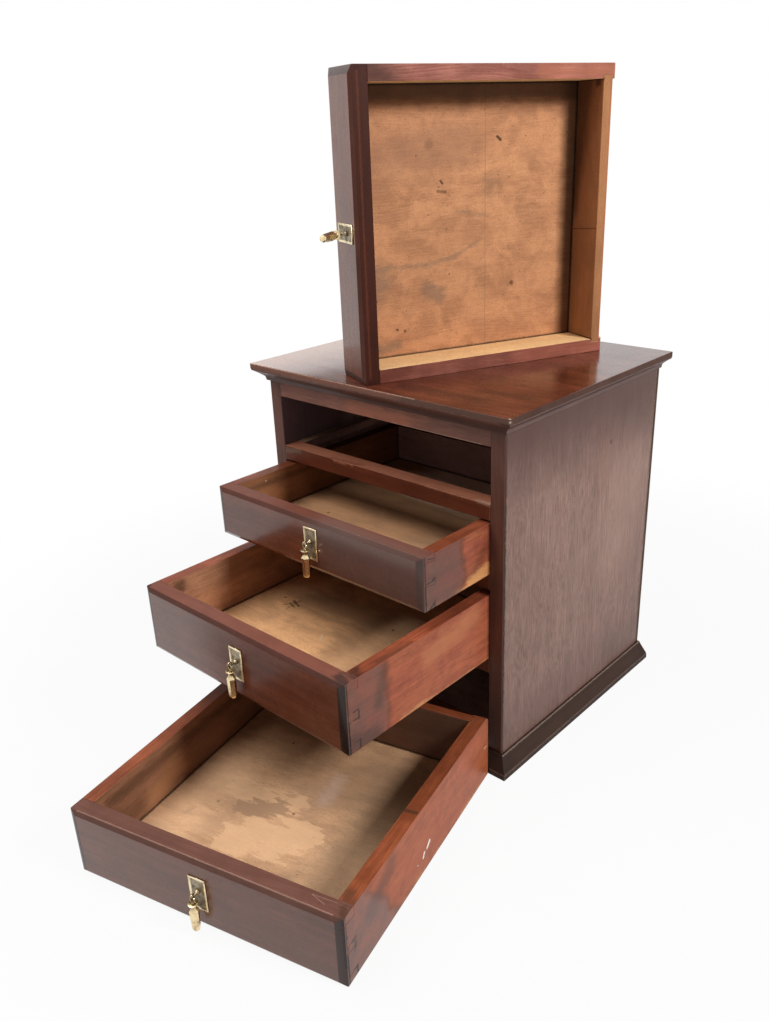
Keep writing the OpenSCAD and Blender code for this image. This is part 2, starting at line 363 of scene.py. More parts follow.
    def join(self, x: object, y: object, z: object) -> Socket:
        """A vector from its three parts.

        Args:
            x: Its part along X.
            y: Its part along Y.
            z: Its part along Z.

        Returns:
            The vector.
        """
        made = self.node("CombineXYZ")
        for index, item in enumerate((x, y, z)):
            self.put(made.inputs[index], item)
        return made.outputs[0]

    def lumps(self, parts: Sequence[Socket], width: Socket, length: float = 1.0) -> Socket:
        """A place counted in lumps of a width that is only known in the shader.

        Args:
            parts: The three parts of the place, with the one along the grain first.
            width: The lumps' width, in millimetres.
            length: How many times as long as wide a lump is.

        Returns:
            The place in lumps.
        """
        along, side, up = parts
        long = width if length == 1.0 else self.times(width, length)
        return self.join(self.over(along, long), self.over(side, width), self.over(up, width))

    def mark(self, name: str) -> Socket:
        """The vector that a mesh carries under a name."""
        return self.node("Attribute", attribute_type="GEOMETRY", attribute_name=name).outputs[1]

    def place(self) -> Socket:
        """The place on the piece in its own frame, in millimetres."""
        inside = self.node("TexCoord").outputs["Object"]
        return self.vector("MULTIPLY", inside, (1 / MM, 1 / MM, 1 / MM))

    def group(self, tree: bpy.types.NodeTree, **values: object) -> Sequence[Socket]:
        """A shared effect placed in this tree.

        Args:
            tree: The effect's node group.
            **values: Its inputs, with underscores for the spaces in their names.

        Returns:
            Its outputs.
        """
        made = self.node("Group", node_tree=tree)
        self.fill(made, **values)
        return made.outputs

    def bump(self, height: Socket, depth: float) -> Socket:
        """A normal bent by a height.

        Args:
            height: The height, from 0 to 1.
            depth: The depth of a full step, in millimetres.

        Returns:
            The bent normal.
        """
        made = self.node("Bump")
        self.fill(made, Strength=1.0, Distance=depth * MM, Height=height)
        return made.outputs[0]


class Effects:
    """The surface effects that several finishes share, each a shader node group made once."""

    def __init__(self) -> None:
        """Makes every group."""
        self.figure = self._figure()
        self.wear = self._wear()
        self.blotch = self._blotch()
        self.fleck = self._fleck()
        self.scuff = self._scuff()
        self.mark = self._mark()

    @staticmethod
    def _open(name: str, inputs: dict[str, object], outputs: Iterable[str]
              ) -> tuple[Sheet, dict[str, Socket], Callable[..., None]]:
        """Starts a group with its sockets.

        Args:
            name: The group's name.
            inputs: The inputs with their first values, vectors as tuples.
            outputs: The outputs, all of them plain values.

        Returns:
            The sheet, the inputs by name, and the function that links the outputs in order.
        """
        tree = bpy.data.node_groups.new(name, "ShaderNodeTree")
        for label, value in inputs.items():
            kind = "NodeSocketVector" if isinstance(value, tuple) else "NodeSocketFloat"
            made = tree.interface.new_socket(name=label, in_out="INPUT", socket_type=kind)
            made.default_value = value
        for label in outputs:
            tree.interface.new_socket(name=label, in_out="OUTPUT", socket_type="NodeSocketFloat")
        sheet = Sheet(tree)
        entry = tree.nodes.new("NodeGroupInput")
        way_out = tree.nodes.new("NodeGroupOutput")

        def close(*results: Socket) -> None:
            """Links each result to its output."""
            for index, result in enumerate(results):
                tree.links.new(result, way_out.inputs[index])

        return sheet, {label: entry.outputs[label] for label in inputs}, close

    def _figure(self) -> bpy.types.NodeTree:
        """Wood figure: broad bands, fine streaks and pores along the grain.

        Returns:
            The group.
        """
        sheet, given, close = self._open(
            "wood_figure", {"Grain": NOWHERE, "Band": 9.0, "Streak": 1.2},
            ("Bands", "Streaks", "Pores"))
        along, side, up = sheet.split(given["Grain"])
        bend = sheet.noise(given["Grain"], (180.0, 60.0, 60.0), 1.0)
        side = sheet.plus(side, sheet.times(bend, 26.0))
        parts = (along, side, up)
        bands = sheet.noise(sheet.lumps(parts, given["Band"], 22.0), EVEN, 3.0, 0.55, 0.4)
        streaks = sheet.noise(sheet.lumps(parts, given["Streak"], 34.0), EVEN, 3.0, 0.6)
        pores = sheet.noise(sheet.join(*parts), (4.5, 0.32, 0.32), 1.0)
        close(sheet.span(bands, 0.3, 0.7), sheet.span(streaks, 0.3, 0.7),
              sheet.span(pores, 0.62, 0.72))
        return sheet.tree

    def _wear(self) -> bpy.types.NodeTree:
        """Edge wear: 1 on a board's arrises, fading out over a reach that noise breaks up.

        Returns:
            The group.
        """
        sheet, given, close = self._open("edge_wear", {"Reach": 2.0, "Ragged": 1.5}, ("Wear",))
        beyond = 400.0  # longer than any board, so that the side a face lies in doesn't count
        place = sheet.place()
        normal = sheet.node("VectorMath", operation="ABSOLUTE")
        sheet.put(normal.inputs[0], sheet.node("TexCoord").outputs["Normal"])
        away = [sheet.math("MINIMUM", low, high) for low, high in zip(
            sheet.split(sheet.vector("SUBTRACT", place, sheet.mark("low"))),
            sheet.split(sheet.vector("SUBTRACT", sheet.mark("high"), place)))]
        across = [sheet.plus(gap, sheet.times(flat, beyond))
                  for gap, flat in zip(away, sheet.split(normal.outputs[0]))]
        nearest = sheet.math("MINIMUM", sheet.math("MINIMUM", across[0], across[1]), across[2])
        rough = sheet.minus(sheet.noise(place, (7.0, 7.0, 7.0), 4.0, 0.65), 0.5)
        ragged = sheet.times(sheet.times(rough, 6.0), given["Ragged"])
        close(sheet.span(sheet.plus(nearest, ragged), 0.0, given["Reach"], 1.0, 0.0))
        return sheet.tree

    def _blotch(self) -> bpy.types.NodeTree:
        """Soft stains of a given size that cover a given share of the surface.

        Returns:
            The group.
        """
        sheet, given, close = self._open(
            "stain_blotches", {"Place": NOWHERE, "Size": 30.0, "Cover": 0.5, "Soft": 0.1},
            ("Stain",))
        spread = sheet.lumps(sheet.split(given["Place"]), given["Size"])
        cloud = sheet.noise(spread, EVEN, 5.0, 0.58, 0.5)
        edge = sheet.minus(0.66, sheet.times(given["Cover"], 0.32))
        close(sheet.span(cloud, sheet.minus(edge, given["Soft"]), sheet.plus(edge, given["Soft"])))
        return sheet.tree

    def _fleck(self) -> bpy.types.NodeTree:
        """Small separate spots, such as specks of dirt or of paint.

        Returns:
            The group.
        """
        sheet, given, close = self._open(
            "specks", {"Place": NOWHERE, "Gap": 12.0, "Share": 0.3, "Radius": 0.8}, ("Specks",))
        cells = sheet.node("TexVoronoi", feature="F1", voronoi_dimensions="3D")
        sheet.fill(cells, Vector=sheet.lumps(sheet.split(given["Place"]), given["Gap"]), Scale=1.0)
        draw, size = sheet.split(cells.outputs["Color"])[:2]
        here = sheet.math("LESS_THAN", draw, given["Share"])
        reach = sheet.over(sheet.times(given["Radius"], size), given["Gap"])
        lump = sheet.noise(given["Place"], (1.2, 1.2, 1.2), 2.0)
        ragged = sheet.times(reach, sheet.span(lump, 0.3, 0.7, 0.5, 1.5))
        spot = sheet.span(cells.outputs["Distance"], sheet.times(ragged, 0.6), ragged, 1.0, 0.0)
        close(sheet.times(spot, here))
        return sheet.tree

    def _scuff(self) -> bpy.types.NodeTree:
        """Fine scratches and rubs, thin and broken, in three directions.

        Returns:
            The group.
        """
        sheet, given, close = self._open("scuffs", {"Place": NOWHERE, "Amount": 0.3}, ("Scuffs",))
        total: object = 0.0
        for angle, long, thin in ((12.0, 34.0, 0.28), (-38.0, 22.0, 0.22), (71.0, 27.0, 0.25)):
            swing = math.radians(angle)
            turned = sheet.node("VectorRotate", rotation_type="EULER_XYZ")
            sheet.fill(turned, Vector=given["Place"], Rotation=(swing, swing * 0.7, swing))
            lines = sheet.noise(turned.outputs[0], (long, thin, thin * 3), 0.0)
            patch = sheet.noise(turned.outputs[0], (25.0, 18.0, 18.0), 1.0)
            line = sheet.times(sheet.span(lines, 0.70, 0.78), sheet.span(patch, 0.5, 0.65))
            total = sheet.plus(total, line)
        close(sheet.math("MULTIPLY", total, given["Amount"], clamp=True))
        return sheet.tree

    def _mark(self) -> bpy.types.NodeTree:
        """A line or spot between two points, its edge broken up along the grain.

        Returns:
            The group.
        """
        sheet, given, close = self._open(
            "mark", {"Place": NOWHERE, "Grain": NOWHERE, "Start": NOWHERE, "End": NOWHERE,
                     "Radius": 1.0, "Soft": 0.3, "Ragged": 0.5}, ("Mark",))
        line = sheet.vector("SUBTRACT", given["End"], given["Start"])
        away = sheet.vector("SUBTRACT", given["Place"], given["Start"])
        long = sheet.math("MAXIMUM", sheet.measure("DOT_PRODUCT", line, line), 0.0001)
        share = sheet.math("DIVIDE", sheet.measure("DOT_PRODUCT", away, line), long, True)
        foot = sheet.vector("MULTIPLY", line, sheet.join(share, share, share))
        far = sheet.measure("LENGTH", sheet.vector("SUBTRACT", away, foot))
        radius = given["Radius"]
        lump = sheet.plus(sheet.times(radius, 0.4), 0.4)
        cloud = sheet.noise(sheet.lumps(sheet.split(given["Grain"]), lump, 3.5), EVEN, 5.0, 0.62)
        push = sheet.times(sheet.minus(cloud, 0.5), 4.5)
        push = sheet.times(sheet.times(push, given["Ragged"]), radius)
        fade = sheet.times(radius, given["Soft"])
        close(sheet.span(sheet.plus(far, push), sheet.minus(radius, fade),
                         sheet.plus(radius, fade), 1.0, 0.0))
        return sheet.tree


def new_material(name: str) -> tuple[bpy.types.Material, Sheet, bpy.types.Node]:
    """An empty material with its Principled shader and output.

    Args:
        name: The material's name.

    Returns:
        The material, its sheet and its Principled node.
    """
    made = bpy.data.materials.new(name)
    made.use_nodes = True
    sheet = Sheet(made.node_tree)
    shader = sheet.node("BsdfPrincipled")
    sheet.put(sheet.node("OutputMaterial").inputs["Surface"], shader.outputs[0])
    return made, sheet, shader


@dataclass(frozen=True)
class Mark:
    """One mark on a piece, a line or a spot, placed in the piece's own frame."""

    start: Point
    end: Point
    radius: float
    colour: Colour = BLACK_DIRT
    strength: float = 0.9
    soft: float = 0.3
    ragged: float = 0.5


def spot(x: float, y: float, z: float, radius: float, colour: Colour = BROWN_DIRT_AND_SHADE,
         strength: float = 0.85, soft: float = 0.4, ragged: float = 0.5) -> Mark:
    """A mark round one point, made as a line too short to see.

    Args:
        x: The point's distance to the right.
        y: Its distance to the back.
        z: Its level.
        radius: The mark's radius.
        colour: Its colour.
        strength: How much it covers.
        soft: The share of its radius that it fades out over.
        ragged: How broken its edge is.

    Returns:
        The mark.
    """
    return Mark((x, y, z), (x, y, z + 0.02), radius, colour, strength, soft, ragged)


@dataclass(frozen=True)
class Finish:
    """A finish with a name and its marks; each kind says how its material is made."""

    name: str
    marks: tuple[Mark, ...] = ()

    def make(self, effects: Effects) -> bpy.types.Material:
        """Makes the finish's material.

        Args:
            effects: The shared effects.

        Returns:
            The material.
        """
        raise NotImplementedError

    @staticmethod
    def mask(effects: Effects, sheet: Sheet, one: Mark) -> Socket:
        """Where a mark lies.

        Args:
            effects: The shared effects.
            sheet: The material's sheet.
            one: The mark.

        Returns:
            The mask, from 0 beside the mark to 1 inside it.
        """
        return sheet.group(effects.mark, Place=sheet.place(), Grain=sheet.mark("grain"),
                           Start=one.start, End=one.end, Radius=one.radius, Soft=one.soft,
                           Ragged=one.ragged)[0]

    @staticmethod
    def stain(effects: Effects, sheet: Sheet, place: Socket, size: float, cover: float,
              soft: float) -> Socket:
        """Where soft stains lie.

        Args:
            effects: The shared effects.
            sheet: The material's sheet.
            place: The place, in millimetres.
            size: The size of a stain, in millimetres.
            cover: The share of the surface that they cover.
            soft: How softly they end.

        Returns:
            The mask, from 0 beside the stains to 1 inside them.
        """
        return sheet.group(effects.blotch, Place=place, Size=size, Cover=cover, Soft=soft)[0]

    def marked(self, effects: Effects, sheet: Sheet, colour: Socket) -> Socket:
        """Lays the finish's marks over a colour.

        Args:
            effects: The shared effects.
            sheet: The material's sheet.
            colour: The colour so far.

        Returns:
            The colour with the marks.
        """
        for one in self.marks:
            colour = sheet.lay(colour, one.colour, self.mask(effects, sheet, one), one.strength)
        return colour


@dataclass(frozen=True)
class PolishedWood(Finish):
    """Mahogany under old polish: banded, streaked, pored, rubbed on its arrises and scuffed."""

    dark: Colour = (0.075, 0.021, 0.010)
    light: Colour = (0.130, 0.038, 0.018)
    worn: Colour = (0.260, 0.085, 0.040)
    worn_share: float = 0.4
    reach: float = 1.3
    gloss: float = 0.26
    coat: float = 0.35
    band: float = 9.0
    streak: float = 1.0
    figure: float = 0.6
    mottle: float = 0.35
    dust_and_sheen: float = 0.0
    dirt: float = 0.25
    pored: float = 0.4
    fine: float = 0.45
    shine: float = 0.12
    rubbed: tuple[Mark, ...] = ()

    def make(self, effects: Effects) -> bpy.types.Material:
        """Makes the polished material.

        Args:
            effects: The shared effects.

        Returns:
            The material.
        """
        made, sheet, shader = new_material(self.name)
        place, grain = sheet.place(), sheet.mark("grain")
        bands, streaks, pores = sheet.group(effects.figure, Grain=grain, Band=self.band,
                                            Streak=self.streak)
        tone = sheet.blend(self.figure, 0.5, sheet.blend(self.fine, bands, streaks))
        colour = sheet.mix(tone, self.dark, self.light)
        cloud = self.stain(effects, sheet, grain, 42.0, 0.5, 0.16)
        colour = sheet.lay(colour, shade(self.dark, 0.7), cloud, self.mottle)
        haze = self.stain(effects, sheet, place, 26.0, 0.45, 0.14)
        # Pale patches laid over the wood: partly real dust, partly a painted sheen.
        if self.dust_and_sheen:
            colour = sheet.lay(colour, PALE_DUST_AND_SHEEN, haze, self.dust_and_sheen)
        rim = sheet.group(effects.wear, Reach=4.0, Ragged=0.9)[0]
        colour = sheet.lay(colour, BLACK_DIRT, rim, self.dirt)
        wear = sheet.group(effects.wear, Reach=self.reach, Ragged=0.25)[0]
        colour = sheet.lay(colour, self.worn, wear, self.worn_share)
        colour = sheet.lay(colour, shade(self.dark, 0.35), pores, self.pored)
        scuffs = sheet.group(effects.scuff, Place=place, Amount=0.5)[0]
        colour = sheet.lay(colour, self.worn, scuffs, 0.08)
        rough = sheet.blend(haze, self.gloss, self.gloss + 0.10)
        for mask in (scuffs, pores):
            rough = sheet.plus(rough, sheet.times(mask, 0.08))
        sway = sheet.noise(grain, (120.0, 24.0, 24.0), 2.0)
        height = sheet.minus(sheet.times(sway, 1.6), sheet.times(pores, 0.4))
        height = sheet.plus(height, sheet.times(streaks, 0.10))
        height = sheet.minus(height, sheet.times(scuffs, 0.04))
        sheet.fill(shader, Base_Color=self.marked(effects, sheet, colour), Roughness=rough,
                   Specular_IOR_Level=self.shine, Coat_Weight=self.polish_left(effects, sheet),
                   Coat_Roughness=self.gloss * 0.7, Normal=sheet.bump(height, 0.07))
        return made

    def polish_left(self, effects: Effects, sheet: Sheet) -> object:
        """The strength of the polish, less where hands have rubbed it away.

        Args:
            effects: The shared effects.
            sheet: The material's sheet.

        Returns:
            A plain number, or a socket where the finish has rubbed places.
        """
        left: object = self.coat
        for one in self.rubbed:
            gone = sheet.times(self.mask(effects, sheet, one), one.strength)
            left = sheet.times(left, sheet.minus(1.0, gone))
        return left


@dataclass(frozen=True)
class DrawerSideWood(Finish):
    """A drawer side's outer face: polish run over from the front, red wood, a pale worn foot."""

    height: float = SMALL_TOP
    seed: float = 0.0
    reach: float = 48.0
    lean: float = 0.0
    red_dark: Colour = (0.260, 0.055, 0.022)
    red_light: Colour = (0.440, 0.115, 0.046)
    orange: Colour = (0.560, 0.200, 0.075)
    orange_share: float = 0.4
    polish: Colour = (0.130, 0.046, 0.028)
    pale: Colour = (0.620, 0.300, 0.120)
    arris: Colour = (0.620, 0.270, 0.130)
    grime: Colour = (0.080, 0.030, 0.016)
    pore: Colour = (0.050, 0.014, 0.007)
    foot: float = 4.0
    tide: float = 0.4

    def make(self, effects: Effects) -> bpy.types.Material:
        """Makes the drawer side's material.

        Args:
            effects: The shared effects.

        Returns:
            The material.
        """
        made, sheet, shader = new_material(self.name)
        place, grain = sheet.place(), sheet.mark("grain")
        _, deep, up = sheet.split(place)
        bands, streaks, pores = sheet.group(effects.figure, Grain=grain, Band=8.0, Streak=0.9)
        colour = self.red_wood(effects, sheet, grain, up, bands, streaks)
        edge = self.polish_edge(sheet, place, deep, up)
        over = sheet.span(edge, self.reach - 9.0, self.reach + 5.0, 1.0, 0.0)
        ground = sheet.mix(sheet.blend(0.5, bands, streaks), shade(self.polish, 0.7), self.polish)
        ground = sheet.lay(ground, self.red_dark,
                           self.stain(effects, sheet, place, 22.0, 0.45, 0.18), 0.55)
        colour = sheet.lay(colour, ground, over, 0.9)
        line = sheet.math("ABSOLUTE", sheet.minus(edge, self.reach))
        colour = sheet.lay(colour, shade(self.polish, 0.4), sheet.span(line, 0.0, 7.0, 1.0, 0.0),
                           self.tide)
        colour = sheet.mix(sheet.span(up, self.height - 12.0, self.height, 0.0, 0.25), colour,
                           self.red_dark)
        rim = sheet.group(effects.wear, Reach=3.0, Ragged=0.8)[0]
        colour = sheet.lay(colour, BROWN_DIRT_AND_SHADE, rim, 0.25)
        wear = sheet.group(effects.wear, Reach=1.1, Ragged=0.3)[0]
        colour = sheet.lay(colour, self.arris, wear, 0.5)
        colour = sheet.lay(colour, self.grime,
                           self.stain(effects, sheet, grain, 16.0, 0.3, 0.08), 0.22)
        colour = sheet.lay(colour, self.pore, pores, 0.4)
        scuffs = sheet.group(effects.scuff, Place=place, Amount=0.6)[0]
        colour = sheet.lay(colour, self.pale, scuffs, 0.25)
        rough = sheet.plus(sheet.blend(over, 0.42, 0.30), sheet.times(scuffs, 0.25))
        height = sheet.minus(sheet.plus(sheet.times(streaks, 0.2), over), sheet.times(pores, 0.5))
        sheet.fill(shader, Base_Color=self.marked(effects, sheet, colour),
                   Specular_IOR_Level=0.15, Coat_Weight=sheet.times(over, 0.25),
                   Coat_Roughness=0.3, Roughness=rough, Normal=sheet.bump(height, 0.07))
        return made

    def red_wood(self, effects: Effects, sheet: Sheet, grain: Socket, up: Socket, bands: Socket,
                 streaks: Socket) -> Socket:
        """The bare red wood, with its orange glow and the pale wood that shows at its foot.

        Args:
            effects: The shared effects.
            sheet: The material's sheet.
            grain: The place in the wood.
            up: The level over the drawer's foot.
            bands: The broad bands of the figure.
            streaks: Its fine streaks.

        Returns:
            The colour.
        """
        colour = sheet.mix(sheet.blend(0.4, bands, streaks), self.red_dark, self.red_light)
        glow = self.stain(effects, sheet, sheet.vector("MULTIPLY", grain, (0.2, 1.0, 1.0)), 17.0,
                          0.42, 0.2)
        glow = sheet.times(glow, sheet.span(streaks, 0.0, 1.0, 0.3, 1.2))
        colour = sheet.lay(colour, self.orange, glow, self.orange_share)
        ragged = sheet.minus(sheet.noise(grain, (46.0, 12.0, 12.0), 4.0, 0.6), 0.5)
        low = sheet.plus(up, sheet.times(ragged, 22.0))
        return sheet.lay(colour, self.pale, sheet.span(low, 0.0, self.foot, 1.0, 0.0), 0.75)

    def polish_edge(self, sheet: Sheet, place: Socket, deep: Socket, up: Socket) -> Socket:
        """The distance behind the front, made wavy and leaning as the polish's edge is.

        Args:
            sheet: The material's sheet.
            place: The place on the drawer.
            deep: The distance behind the drawer's front.
            up: The level over its foot.

        Returns:
            The distance that says where the polish ends.
        """
        shifted = sheet.vector("ADD", place, (self.seed, self.seed, 0.0))
        wave = sheet.minus(sheet.noise(shifted, (40.0, 40.0, 26.0), 2.0), 0.5)
        edge = sheet.plus(deep, sheet.times(wave, 32.0))
        return sheet.minus(edge, sheet.times(sheet.minus(up, self.height / 2), self.lean))


@dataclass(frozen=True)
class BareWood(Finish):
    """Unpolished wood inside the drawers and the carcass: tan, stained, specked and dusty."""

    dark: Colour = (0.300, 0.150, 0.062)
    light: Colour = (0.520, 0.300, 0.140)
    speck: Colour = (0.070, 0.034, 0.018)
    specks: float = 0.06
    grime: Colour = (0.150, 0.075, 0.040)
    grime_share: float = 0.30
    grime_size: float = 34.0
    wear: float = 0.25
    worn: Colour = (0.560, 0.340, 0.170)
    rough: float = 0.62
    corner: float = 0.0
    streak: float = 1.0
    figure: float = 0.6
    drawn: float = 0.5

    def make(self, effects: Effects) -> bpy.types.Material:
        """Makes the bare wood's material.

        Args:
            effects: The shared effects.

        Returns:
            The material.
        """
        made, sheet, shader = new_material(self.name)
        place, grain = sheet.place(), sheet.mark("grain")
        bands, streaks, pores = sheet.group(effects.figure, Grain=grain, Band=16.0,
                                            Streak=self.streak)
        tone = sheet.blend(self.figure, 0.5, sheet.blend(0.5, bands, streaks))
        colour = sheet.mix(tone, self.dark, self.light)
        spread = sheet.vector("MULTIPLY", grain, (self.drawn, 1.0, 1.0))
        fibres = sheet.span(streaks, 0.0, 1.0, 1.1, 0.7)
        grime = sheet.times(self.stain(effects, sheet, spread, self.grime_size, 0.42, 0.13), fibres)
        colour = sheet.lay(colour, self.grime, grime, self.grime_share)
        flame = sheet.times(self.stain(effects, sheet, spread, 9.0, 0.38, 0.16), fibres)
        colour = sheet.lay(colour, self.grime, flame, self.grime_share * 0.4)
        sand = sheet.noise(grain, (1.3, 0.8, 0.8), 2.0)
        colour = sheet.mix(sheet.span(sand, 0.42, 0.68, 0.0, 0.30), colour, self.grime)
        if self.corner:
            rim = sheet.group(effects.wear, Reach=self.corner, Ragged=0.8)[0]
            colour = sheet.lay(colour, self.grime, rim, 0.5)
        else:
            wear = sheet.group(effects.wear, Reach=1.2, Ragged=0.4)[0]
            colour = sheet.lay(colour, self.worn, wear, self.wear)
        colour = sheet.lay(colour, self.grime, pores, 0.25)
        for gap, share, radius, strength in ((4.5, self.specks * 1.5, 0.75, 0.45),
                                             (11.0, self.specks, 1.3, 0.7)):
            dots = sheet.group(effects.fleck, Place=place, Gap=gap, Share=share,
                               Radius=radius)[0]
            colour = sheet.lay(colour, self.speck, dots, strength)
        height = sheet.minus(sheet.times(streaks, 0.5), pores)
        sheet.fill(shader, Base_Color=self.marked(effects, sheet, colour),
                   Specular_IOR_Level=0.12, Normal=sheet.bump(height, 0.07),
                   Roughness=sheet.blend(grime, self.rough, self.rough - 0.12))
        return made


@dataclass(frozen=True)
class OldBrass(Finish):
    """Cast brass: bright where hands rub it, brown and grey where dirt has stayed."""

    bright: Colour = (0.88, 0.70, 0.42)
    dull: Colour = (0.34, 0.24, 0.12)
    dull_share: float = 0.25
    gloss: float = 0.20

    def make(self, effects: Effects) -> bpy.types.Material:
        """Makes the brass material.

        Args:
            effects: The shared effects.

        Returns:
            The material.
        """
        made, sheet, shader = new_material(self.name)
        place = sheet.place()
        stain = self.stain(effects, sheet, place, 5.0, self.dull_share, 0.16)
        colour = sheet.mix(stain, self.bright, self.dull)
        fine = sheet.noise(place, (0.9, 0.9, 0.9), 3.0)
        rough = sheet.plus(sheet.blend(stain, self.gloss, self.gloss + 0.2),
                           sheet.times(sheet.minus(fine, 0.5), 0.2))
        sheet.fill(shader, Base_Color=self.marked(effects, sheet, colour), Metallic=1.0,
                   Roughness=rough, Normal=sheet.bump(fine, 0.010))
        return made


@dataclass(frozen=True)
class RustedIron(Finish):
    """Iron brads with a skin of rust."""

    bare: Colour = (0.16, 0.15, 0.14)
    rust: Colour = (0.12, 0.05, 0.02)

    def make(self, effects: Effects) -> bpy.types.Material:
        """Makes the iron material.

        Args:
            effects: The shared effects.

        Returns:
            The material.
        """
        made, sheet, shader = new_material(self.name)
        rust = self.stain(effects, sheet, sheet.place(), 1.6, 0.6, 0.1)
        sheet.fill(shader, Base_Color=sheet.mix(rust, self.bare, self.rust),
                   Metallic=sheet.blend(rust, 0.9, 0.1), Roughness=sheet.blend(rust, 0.4, 0.8),
                   Normal=sheet.bump(rust, 0.1))
        return made


class Paint:
    """The finishes as materials, each made when it is first asked for."""

    def __init__(self, effects: Effects) -> None:
        """Keeps the effects.

        Args:
            effects: The shared effects.
        """
        self.effects = effects
        self.made: dict[str, bpy.types.Material] = {}

    def of(self, finish: Finish) -> bpy.types.Material:
        """The material of a finish.

        Args:
            finish: The finish.

        Returns:
            Its material, the same one each time.
        """
        if finish.name not in self.made:
            self.made[finish.name] = finish.make(self.effects)
        return self.made[finish.name]


@dataclass
class Shop:
    """What every sub-assembly works with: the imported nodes, the finishes and the edge sizes."""

    nodes: dict[str, bpy.types.Object]
    paint: Paint
    weld: float = 0.02
    flat_angle: float = 0.6
    arris_angle: float = 24.0
    shortest_arris: float = 0.25
    seed_shift: Point = (137.0, 53.0, 71.0)

    def show(self, bm: bmesh.types.BMesh, name: str, body: str, slot: str, place: Matrix,
             finishes: Sequence[Finish], replaced: str) -> bpy.types.Object:
        """Turns a mesh in its own frame into a finished piece that rides on a body.

        Args:
            bm: The mesh, in metres; it is freed.
            name: The piece's name.
            body: The body that it rides on.
            slot: Not used.
            place: Where the piece's own frame stands.
            finishes: The finishes, in the order of the faces' material indices.
            replaced: The CAD node that the piece stands for.

        Returns:
            The piece.
        """
        mesh = bpy.data.meshes.new(name)
        bm.to_mesh(mesh)
        bm.free()
        mesh.shade_smooth()
        for finish in finishes:
            mesh.materials.append(self.paint.of(finish))
        piece = bpy.data.objects.new(name, mesh)
        bpy.context.scene.collection.objects.link(piece)
        piece.matrix_world = place
        piece.modifiers.new("even_shading", "WEIGHTED_NORMAL").keep_sharp = True
        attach(piece, body)
        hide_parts(replaced)
        return piece

    def soften(self, bm: bmesh.types.BMesh, soft: float) -> None:
        """Joins a node's triangles into whole faces and rounds the arrises between them.

        Args:
            bm: The mesh, in metres.
            soft: The size of the rounding.
        """
        bmesh.ops.remove_doubles(bm, verts=bm.verts, dist=self.weld * MM)
        bmesh.ops.dissolve_limit(bm, angle_limit=math.radians(self.flat_angle), verts=bm.verts,
                                 edges=bm.edges, use_dissolve_boundaries=False, delimit=set())
        arrises = [edge for edge in bm.edges if len(edge.link_faces) == 2
                   and edge.calc_length() > self.shortest_arris * MM
                   and edge.calc_face_angle() > math.radians(self.arris_angle)]
        bmesh.ops.bevel(bm, geom=arrises, offset=soft * MM, offset_type="OFFSET", segments=2,
                        profile=0.5, affect="EDGES", clamp_overlap=False)

    def lay_grain(self, bm: bmesh.types.BMesh, grain: Grain, seed: float) -> None:
        """Gives each point its place in the wood and the lowest and highest corner of its board.

        Args:
            bm: The mesh, in metres.
            grain: The direction of the grain.
            seed: A number that gives the board its own figure.
        """
        spots = [vert.co / MM for vert in bm.verts]
        low = Vector(min(spot[axis] for spot in spots) for axis in range(3))
        high = Vector(max(spot[axis] for spot in spots) for axis in range(3))
        shift = Vector(part * seed for part in self.seed_shift)
        layers = {name: bm.verts.layers.float_vector.new(name)
                  for name in ("grain", "low", "high")}
        for vert, spot in zip(bm.verts, spots):
            vert[layers["grain"]] = Vector(spot[axis] for axis in grain.value) + shift
            vert[layers["low"]] = low
            vert[layers["high"]] = high

    def board(self, node: str, body: str, slot: str, grain: Grain, place: Matrix,
              finishes: dict[Facing | None, Finish], soft: float = 0.45,
              seed: float = 0.0) -> bpy.types.Object:
        """A wooden piece made from its node, with its arrises rounded and its grain laid.

        Args:
            node: The CAD node.
            body: The body that it rides on.
            slot: The record's material slot.
            grain: The direction of the grain.
            place: Where the piece's own frame stands.
            finishes: The finish of each side, with None for the rest.
            soft: The rounding of the arrises.
            seed: A number that gives the board its own figure.

        Returns:
            The piece.
        """
        bm = bmesh.new()
        bm.from_mesh(self.nodes[node].data)
        bm.transform(place.inverted())
        self.soften(bm, soft)
        rest = finishes[None]
        order = list({finish.name: finish for finish in (rest, *finishes.values())}.values())
        index = {finish.name: number for number, finish in enumerate(order)}
        for face in bm.faces:
            side = Facing.of(face.normal)
            finish = finishes.get(side, finishes.get(side.plain, rest))
            face.material_index = index[finish.name]
        self.lay_grain(bm, grain, seed)
        return self.show(bm, node + "_wood", body, slot, place, order, node)


def add_skin(bm: bmesh.types.BMesh, loops: Iterable[Iterable[Point]], ring: bool = False) -> None:
    """Adds a skin over loops that all have the same number of points, in millimetres.

    Args:
        bm: The mesh to add to.
        loops: The loops in order.
        ring: Whether the last loop joins the first; otherwise both ends are filled.
    """
    rows = [[bm.verts.new(Vector(point) * MM) for point in loop] for loop in loops]
    count = len(rows[0])
    for one, two in zip(rows, rows[1:] + rows[:1] if ring else rows[1:]):
        for k in range(count):
            n = (k + 1) % count
            bm.faces.new((one[k], one[n], two[n], two[k]))
    if not ring:
        bm.faces.new(list(reversed(rows[0])))
        bm.faces.new(rows[-1])


def around(middle: Point, axis: int, reach: float, angle: float, along: float = 0.0) -> Point:
    """A point at a distance from an axis, at an angle round it.

    Args:
        middle: A point on the axis.
        axis: The number of the axis.
        reach: The distance from the axis.
        angle: The angle round it, in radians.
        along: The distance along it from the middle.

    Returns:
        The point.
    """
    point = list(middle)
    one, two = [k for k in range(3) if k != axis]
    point[axis] += along
    point[one] += reach * math.cos(angle)
    point[two] += reach * math.sin(angle)
    return tuple(point)


